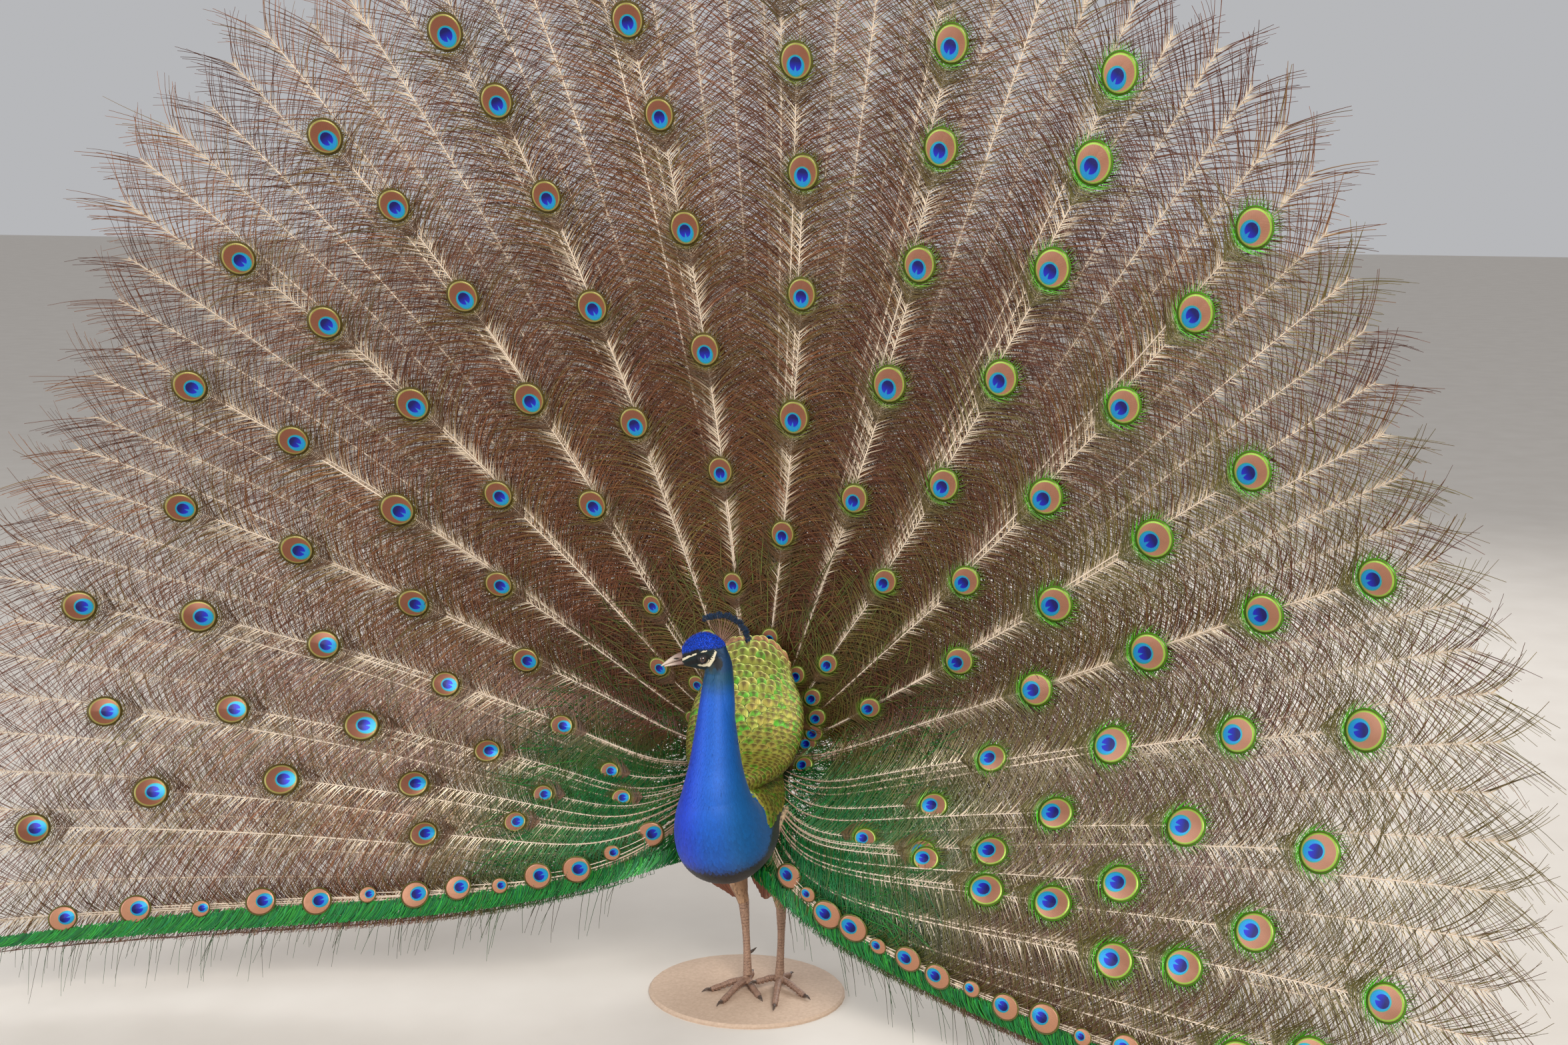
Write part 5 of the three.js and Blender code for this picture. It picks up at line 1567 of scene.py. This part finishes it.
# ---- Train: border -----------------------------------------------------------------------------
# The lowest feathers have a web on their lower side only: a short dense emerald fringe along both
# lower edges, from which a few long thin barbs hang down nearly to the ground.
FRINGE_STEPS = 4
fringe_sets = []
for side in (-1, 1):
    for layer in range(3):
        at = np.arange(0.10, min(1.30 if side < 0 else 1.62, RIM[0 if side < 0 else -1] - 0.08), 0.0015)
        at = at + rng.uniform(-0.001, 0.001, len(at))
        fringe_sets.append(np.stack([at, np.full(len(at), side), np.full(len(at), layer)], -1))
fringe = np.concatenate(fringe_sets)
at, side, layer = (v[:, None] for v in fringe.T)
s = np.linspace(0, 1, FRINGE_STEPS)[None, :]
count = len(fringe)
high = rng.uniform(0.024, 0.036, (count, 1)) * (1 - 0.55 * smooth((at - 0.9) / 0.5))
run_out = rng.uniform(0.016, 0.034, (count, 1))
edge = edge_turn(at, side)
fringe_r = at + run_out * s
fringe_turn = edge_turn(fringe_r, side) - side * (high * (1 - s**0.8) - 0.006) / fringe_r
fringe_off = 0.012 - 0.003 * layer + 0.002 * s + rng.uniform(-0.001, 0.001, (count, 1))
width = lerp(0.0022, 0.0009, s) + 0 * at
emerald = mix(srgb(8, 104, 58), srgb(44, 140, 44), rng.random((count, 1)))
fringe_paint = emerald * rng.uniform(0.5, 1.4, (count, 1, 1)) + 0 * s[..., None]
points, faces, colour = ribbons(fringe_r, fringe_turn, fringe_off, width, fringe_paint)
patch = root_patch(at[..., None], edge[..., None], s[..., None], np.array([0.0, 1.0]))
fringes = put_mesh("train_fringe", points, faces, colour, patch.reshape(-1, 2))
dress(fringes, barbs)

STRAND_STEPS = 6
STRANDS = 340
s = np.linspace(0, 1, STRAND_STEPS)[None, :]
side = np.repeat([-1.0, 1.0], STRANDS // 2)[:, None]
at = rng.uniform(0.2, min(RIM[0], RIM[-1]) - 0.06, (STRANDS, 1))
edge = edge_turn(at, side)
start = dish(at, edge - side * 0.01 / at, 0.008)
swing = side * rng.uniform(0.01, 0.06, (STRANDS, 1))
long = rng.uniform(0.05, 0.15, (STRANDS, 1)) * rng.uniform(0.6, 1, (STRANDS, 1))
fall = np.stack([swing * s**0.7, rng.normal(0, 0.012, (STRANDS, 1)) * s**1.4, -long * s**1.15], -1)
middle = start + fall
middle[..., 2] = np.maximum(middle[..., 2], FLOOR_Z + 0.003 + 0.002 * s)
tone = mix(srgb(38, 84, 40), srgb(64, 46, 34), rng.random((STRANDS, 1)))
tone = tone * rng.uniform(0.6, 1.2, (STRANDS, 1, 1))
points, faces, colour = strips(middle, lerp(0.0014, 0.0006, s), tone + 0 * s[..., None])
patch = root_patch(at[..., None], edge[..., None], s[..., None], np.array([0.0, 1.0]))
strands = put_mesh("train_strands", points, faces, colour, patch.reshape(-1, 2))
dress(strands, barbs)


# ---- Wing coverts ------------------------------------------------------------------------------
# The closed upper wings lie on the flanks: rows of rounded buff feathers, each with wavy black bars.
def wing_paint(places):
    """Pale buff for the wing's feathers, the bars are added along each feather."""
    return np.broadcast_to(srgb(196, 168, 132), places.shape) * 1.0


sets = []
for side in SIDES:
    surface = wing(side)
    t, turn, pitch = roots(surface, (0.02, 2.98), lambda t: lerp(0.0070, 0.0100, t / 3))
    places, tint, patch = vanes(surface, t, turn, pitch, 1, wing_paint, 0.004, long=3.2, wide=0.85, tone_spread_and_painted_shade=0.12)
    s = np.linspace(0, 1, VANE_STEPS)[None, :, None, None]
    bars = smooth((np.sin(s * 14 + rng.uniform(0, 6, (len(t), 1, 1, 1))) - 0.1) / 0.4)
    sets.append((places, mix(tint, srgb(44, 34, 28), bars[..., 0] * 0.85), patch))
lay_coat("wing_feathers", soft_plumage, sets)


# ---- Primaries ---------------------------------------------------------------------------------
# The long chestnut flight feathers hang down and inward behind the legs, folded one over another.
PRIMARIES = np.array([
    [30, 286, 84, 6, 26],
    [78, 230, 72, 5, 46],
    [110, 178, 50, 3.4, 46],
    [126, 122, 28, 1.2, 26],
]) / 1000
BLADES = 9
BLADE_STEPS, BLADE_WIDE = 22, 5
sets = []
for number, side in enumerate(SIDES.values()):
    rows = PRIMARIES * [1, 1, side, 1, 1]
    ends = body_place(rows[:, 2], rows[:, 0], rows[:, 1])
    run = unit(ends[-1] - ends[0])
    across = unit(np.cross(run, turned(np.array([0, -0.86, -0.5]))))
    face = np.cross(across, run)
    b = (np.arange(BLADES) / (BLADES - 1))[:, None, None]
    s = np.linspace(0, 1, BLADE_STEPS)[None, :, None]
    c = np.linspace(-1, 1, BLADE_WIDE)[None, None, :]
    reach_s = s * lerp(0.72, 1.0, 1 - np.abs(b - 0.55) * 1.3)
    middle = path_point(ends, reach_s[..., 0])[:, :, None]
    wide = np.interp(reach_s, np.linspace(0, 1, 4), rows[:, 4])
    place = lerp(-0.78, 0.78, b) * wide
    half = 0.0135 * np.minimum(1, (1.02 - s) * 6) ** 0.5 * np.minimum(1, 0.3 + s * 3)
    across_at = place + half * c
    off = lerp(0.005, -0.005, b) * (1 - 0.6 * s) + 0.0015 * c - 0.0018 * c**2
    points = middle + across_at[..., None] * across + off[..., None] * face
    tone = mix(srgb(158, 98, 74), srgb(104, 62, 48), smooth((np.abs(c) - 0.3) / 0.7) + 0 * s + 0 * b)
    tone = mix(tone, srgb(182, 150, 128), (np.abs(c) < 0.1) * 0.8 + 0 * s + 0 * b)
    tone = tone * rng.uniform(0.85, 1.15, (BLADES, 1, 1, 1))
    column = number * BLADES + b + 0.5 + 0.4 * c
    patch = np.stack(np.broadcast_arrays(column / (2 * BLADES), 0.05 + 0.9 * s), -1)
    sets.append((points, tone, patch))
points, tint, patch = joined(sets)
flight = put_mesh("flight_feathers", points, grid_faces(2 * BLADES, BLADE_STEPS, BLADE_WIDE), tint, patch)
dress(flight, soft_plumage, ("primaries_left", "primaries_right"))


# ---- Mantle ------------------------------------------------------------------------------------
# The mound of gold-green scale feathers between the shoulders and the train: rounded shields with
# black rims, their free edges up, the lower rows lying over the upper ones, and larger toward the top.
MANTLE = np.array([
    [-132, 424, 16, 5, 14],
    [-92, 434, 46, 16, 30],
    [-50, 440, 74, 20, 34],
    [10, 450, 100, 22, 40],
    [66, 486, 112, 24, 46],
    [104, 536, 106, 22, 34],
    [124, 588, 82, 15, 22],
    [134, 628, 74, 9, 12],
    [142, 666, 56, 3, 5],
]) / 1000
MANTLE_SAG = 1.3
MANTLE_SQUARE = 0.9
MANTLE_END = len(MANTLE) - 1.0


def mantle(t, turn, grow=0.0):
    """Point of the mound at t stations up the back, `turn` round from the bird's left over the front.

    Toward the top its rows sag at both sides, so that the mound ends in a dome.
    """
    t = t - MANTLE_SAG * (1 - np.maximum(np.sin(turn), 0)) * smooth(t / MANTLE_END) ** 2
    y, z, half, out, back = np.moveaxis(between(MANTLE, t), -1, 0)
    ahead = between(MANTLE, np.clip(t + 0.05, 0, MANTLE_END))[..., :2]
    run = unit(ahead - between(MANTLE, np.clip(t - 0.05, 0, MANTLE_END))[..., :2])
    lift = fuller(np.sin(turn), MANTLE_SQUARE) * (np.where(np.sin(turn) > 0, out, back) + grow)
    across = fuller(np.cos(turn), MANTLE_SQUARE) * (half + grow)
    return body_place(across, y - lift * run[..., 1], z + lift * run[..., 0])


def plain_bed(name, surface, end, grid, colour, node):
    """A closed loft of one colour under the feathers of its part."""
    points, faces = closed_loft(surface, end, *grid)
    bed = put_mesh(name, points, faces, np.tile(colour, (len(points), 1)), tube_patch(*grid))
    face_out(bed)
    dress(bed, plumage, (node,))


# The bed stops before the last feathers, which stand free past its end.
plain_bed("mantle_bed", lambda t, turn: mantle(t, turn, -0.004), MANTLE_END - 0.8, (60, 48),
          srgb(34, 40, 16), "mantle")

SHIELD_STEPS, SHIELD_WIDE = 7, 7


def shields(surface, t, turn, pitch, heading, sunk, proud):
    """Rounded scale feathers on a surface, rising from `sunk` at the root to `proud` at the free edge."""
    count = len(t)
    s = np.linspace(0, 1, SHIELD_STEPS)[None, :, None]
    c = np.linspace(-1, 1, SHIELD_WIDE)[None, None, :]
    pace, girth = stretch(surface, t, turn, 0.02)
    size = (pitch * rng.uniform(0.92, 1.1, count))[:, None, None]
    outline = np.sqrt(np.clip(1 - (np.maximum(s - 0.62, 0) / 0.385) ** 2, 0.002, 1)) * smooth(0.35 + s * 1.2)
    rise = sunk + (proud - sunk) * s**0.8 - 0.0016 * c**2 - 0.0012 * s**4
    rise = rise + rng.uniform(-0.0004, 0.0004, (count, 1, 1))
    points = surface(t[:, None, None] + heading * 2.5 * size * s / pace,
                     turn[:, None, None] + 1.22 * size * outline * c / girth
                     + rng.normal(0, 0.02, (count, 1, 1)) * s, rise)
    shape = np.stack(np.broadcast_arrays(0.5 + 0.5 * outline * c, s + 0 * size), -1)
    patch = np.stack(np.broadcast_arrays(turn[:, None, None] / (2 * np.pi) + 0.1 + c * 0.0015,
                                         t[:, None, None] / 9 + s * 0.003), -1)
    luck = np.broadcast_to(rng.random((count, 1, 1)), points.shape[:3])
    return points, shape, patch, luck


t, turn, pitch = roots(mantle, (0.1, MANTLE_END - 0.95),
                       lambda t: np.interp(t, [0, MANTLE_END], [0.0080, 0.0150]), (-0.5, np.pi + 0.5))
mound = shields(mantle, t, turn, pitch, 1, -0.0045, 0.0040)
mound_level = np.broadcast_to(t[:, None, None] / MANTLE_END, mound[3].shape)
# The same feathers begin on the shoulders, behind the edge of the blue breast.
t, turn, pitch = roots(trunk, (5.6, 1.2), lambda t: 0.0088, (-0.45, np.pi + 0.45))
_, back, height = body_axes(trunk(t, turn))
keep = (back > -0.128 + (height - 0.37) * 0.5) & (height > 0.368)
shoulders = shields(trunk, t[keep], turn[keep], pitch[keep], -1, -0.002, 0.0042)
shoulder_level = np.zeros(shoulders[3].shape)
points, shape, patch = joined([mound[:3], shoulders[:3]])
luck = np.concatenate([mound[3].ravel(), shoulders[3].ravel()])
level = np.concatenate([mound_level.ravel(), shoulder_level.ravel()])
faces = grid_faces(len(luck) // (SHIELD_STEPS * SHIELD_WIDE), SHIELD_STEPS, SHIELD_WIDE)
scales = put_mesh("mantle_feathers", points, faces, None, patch, [("Vane", shape)],
                  [("Level", level), ("Luck", luck)])
shield = Finish("scale_feathers", Roughness=0.4, Metallic=0.35)
across, up = shield.uv("Vane")
across = across * 2 - 1
lifted = (up - 0.62).math("MAXIMUM", 0.0) * 2.6
radius = (across * across + lifted * lifted).math("SQRT")
level, luck = shield.attribute("Level"), shield.attribute("Luck")
gold = shield.mix(luck, srgb(176, 160, 70), srgb(150, 164, 58))
gold = shield.mix((luck * 5 - 3.4).clamp(), gold, srgb(90, 176, 40))
gold = shield.mix((level * 1.8 - 1.0).clamp(), gold, srgb(118, 150, 62))
wedge = ((up - 0.42) * 2.4 - across.math("ABSOLUTE") * 1.7).clamp()
colour = shield.mix((wedge * 1.6).clamp() * 0.8, gold, srgb(88, 66, 34))
glow = ((radius - 0.66) * 6).clamp()
colour = shield.mix(glow, colour, shield.mix(luck, srgb(204, 196, 104), srgb(150, 190, 76)))
colour = shield.mix(((radius - 0.87) * 16).clamp(), colour, srgb(18, 14, 8))
bronze = oval(across, up, (0, 0.72), 0.62, 0.2, 0.25)
colour = shield.mix(bronze * ((level - 0.82) * 14).clamp(), colour, srgb(168, 112, 76))
rays = shield.sine(across * 46)
colour = shield.shade(colour, 0.86 + 0.10 * rays + 0.2 * (shield.noise(500.0) - 0.5))
shield.set("Base Color", colour)
shield.bump(rays, 0.0002, 0.3)
dress(scales, shield)


# ---- Tail --------------------------------------------------------------------------------------
# Eighteen plain stiff grey-brown feathers stand spread behind the train and carry it.
TAIL_FEATHERS = 18
TAIL_STEPS, TAIL_WIDE = 26, 7
k = (np.arange(TAIL_FEATHERS) / (TAIL_FEATHERS - 1))[:, None, None]
s = np.linspace(0, 1, TAIL_STEPS)[None, :, None]
c = np.linspace(-1, 1, TAIL_WIDE)[None, None, :]
r = lerp(0.06, 0.455, s) + 0 * k
feather_turn = np.radians(lerp(-59, 59, k))
half = lerp(0.010, 0.037, smooth(s * 1.3)) * np.sqrt(np.clip((1.002 - s) * 9, 0, 1))
r = r - 0.012 * c**2 * smooth((s - 0.7) / 0.3)
turn = feather_turn + half * c / np.maximum(r, 0.05)
behind = 0.052 * (0.55 + 0.45 * np.cos(feather_turn)) - 0.16 * 0.4 * r
off = -behind - 0.010 + 0.0022 * c + 0.0012 * np.where(np.arange(TAIL_FEATHERS) % 2, 1, -1)[:, None, None]
points = dish(r, turn, off).reshape(-1, 3)
bars = smooth((np.sin(s * 70 + 2 * np.abs(c) + 6 * k) - 0.3) / 0.5)
tone = mix(srgb(112, 96, 80), srgb(70, 58, 48), bars * 0.45 + 0 * c)
tone = mix(tone, srgb(182, 164, 142), (np.abs(c) < 0.1) * 0.8 + 0 * s + 0 * k)
column = k * (TAIL_FEATHERS - 1) + 0.5 + 0.4 * c
patch = np.stack(np.broadcast_arrays(column / TAIL_FEATHERS, 0.05 + 0.9 * s), -1)
faces = grid_faces(TAIL_FEATHERS, TAIL_STEPS, TAIL_WIDE)
rectrices = put_mesh("tail_feathers", points, faces, tone.reshape(-1, 3), patch.reshape(-1, 2))
dress(rectrices, soft_plumage, ("tail",))


# ---- Root of the train -------------------------------------------------------------------------
# The pad of skin and muscle that the quills grow from, covered with short soft green feathers.
PAD_REACH = 0.0957
PAD_HALF = 0.017


def pad(t, turn, grow=0.0):
    """Point of the lens-shaped pad: t from its front middle (0) over its rim (1) to its back (2)."""
    share = np.clip(np.where(t < 1, t, 2 - t), 0.02, 1)
    thick = (PAD_HALF * np.sqrt(np.clip(1 - share**2, 0.01, 1)) + grow) * np.where(t < 1, 1, -1)
    side = np.abs((turn + np.pi) % (2 * np.pi) - np.pi)
    root = dish(PAD_REACH * share, turn, 0) - dish_depth(PAD_REACH * share, turn)[..., None] * TRAIN_OUT
    return root + (dish_depth(PAD_REACH * share, side) + thick)[..., None] * TRAIN_OUT


plain_bed("train_pad", lambda t, turn: pad(t, turn, -0.003), 2.0, (24, 40),
          srgb(26, 44, 22), "train_root")


# ---- Stand -------------------------------------------------------------------------------------
# A low oval plate of painted board under the feet, which keeps the tall fan from tipping over.
board = Finish("stand_board", Roughness=0.7)
sand = board.noise(180.0, 6.0)
board.set("Base Color", board.mix(sand, srgb(176, 148, 126), srgb(216, 190, 166)))
board.bump(sand, 0.0008, 0.5)
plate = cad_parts["stand_base"]
plate.data.materials.clear()
plate.data.materials.append(board.material)


# ---- Studio ------------------------------------------------------------------------------------
# A plain pale floor and soft light from large panels, one of them warmer and lower on the right.
floor_points = np.array([[-30, -30, 0], [30, -30, 0], [30, 30, 0], [-30, 30, 0]]) + [0, 0, FLOOR_Z]
floor = put_mesh("floor", floor_points, np.array([[0, 1, 2, 3]]))
paper = Finish("floor_paper", Roughness=0.9)
grain = paper.noise(6.0)
paper.set("Base Color", paper.mix(grain, srgb(208, 200, 190), srgb(222, 215, 206)))
floor.data.materials.append(paper.material)

world = bpy.data.worlds.new("studio")
world.use_nodes = True
world.node_tree.nodes["Background"].inputs["Color"].default_value = (0.86, 0.87, 0.9, 1)
world.node_tree.nodes["Background"].inputs["Strength"].default_value = 0.55
bpy.context.scene.world = world


def lamp(name, at, target, size, power, colour):
    """A square soft panel at one place, facing another."""
    light = bpy.data.lights.new(name, "AREA")
    light.size = size
    light.energy = power
    light.color = colour
    thing = bpy.data.objects.new(name, light)
    thing.location = at
    back = unit(np.array(at, float) - np.array(target, float))
    thing.rotation_euler = (np.arccos(back[2]), 0, np.arctan2(back[0], -back[1]))
    bpy.context.scene.collection.objects.link(thing)


lamp("key", (2.6, -4.0, 4.2), (0, 0, 0.9), 2.4, 260, (1.0, 0.97, 0.92))
lamp("fill", (-3.8, -3.4, 2.4), (0, 0, 0.9), 3.0, 110, (0.92, 0.96, 1.0))
lamp("behind", (0.5, 4.0, 3.6), (0, 0, 1.0), 2.6, 120, (1.0, 1.0, 1.0))
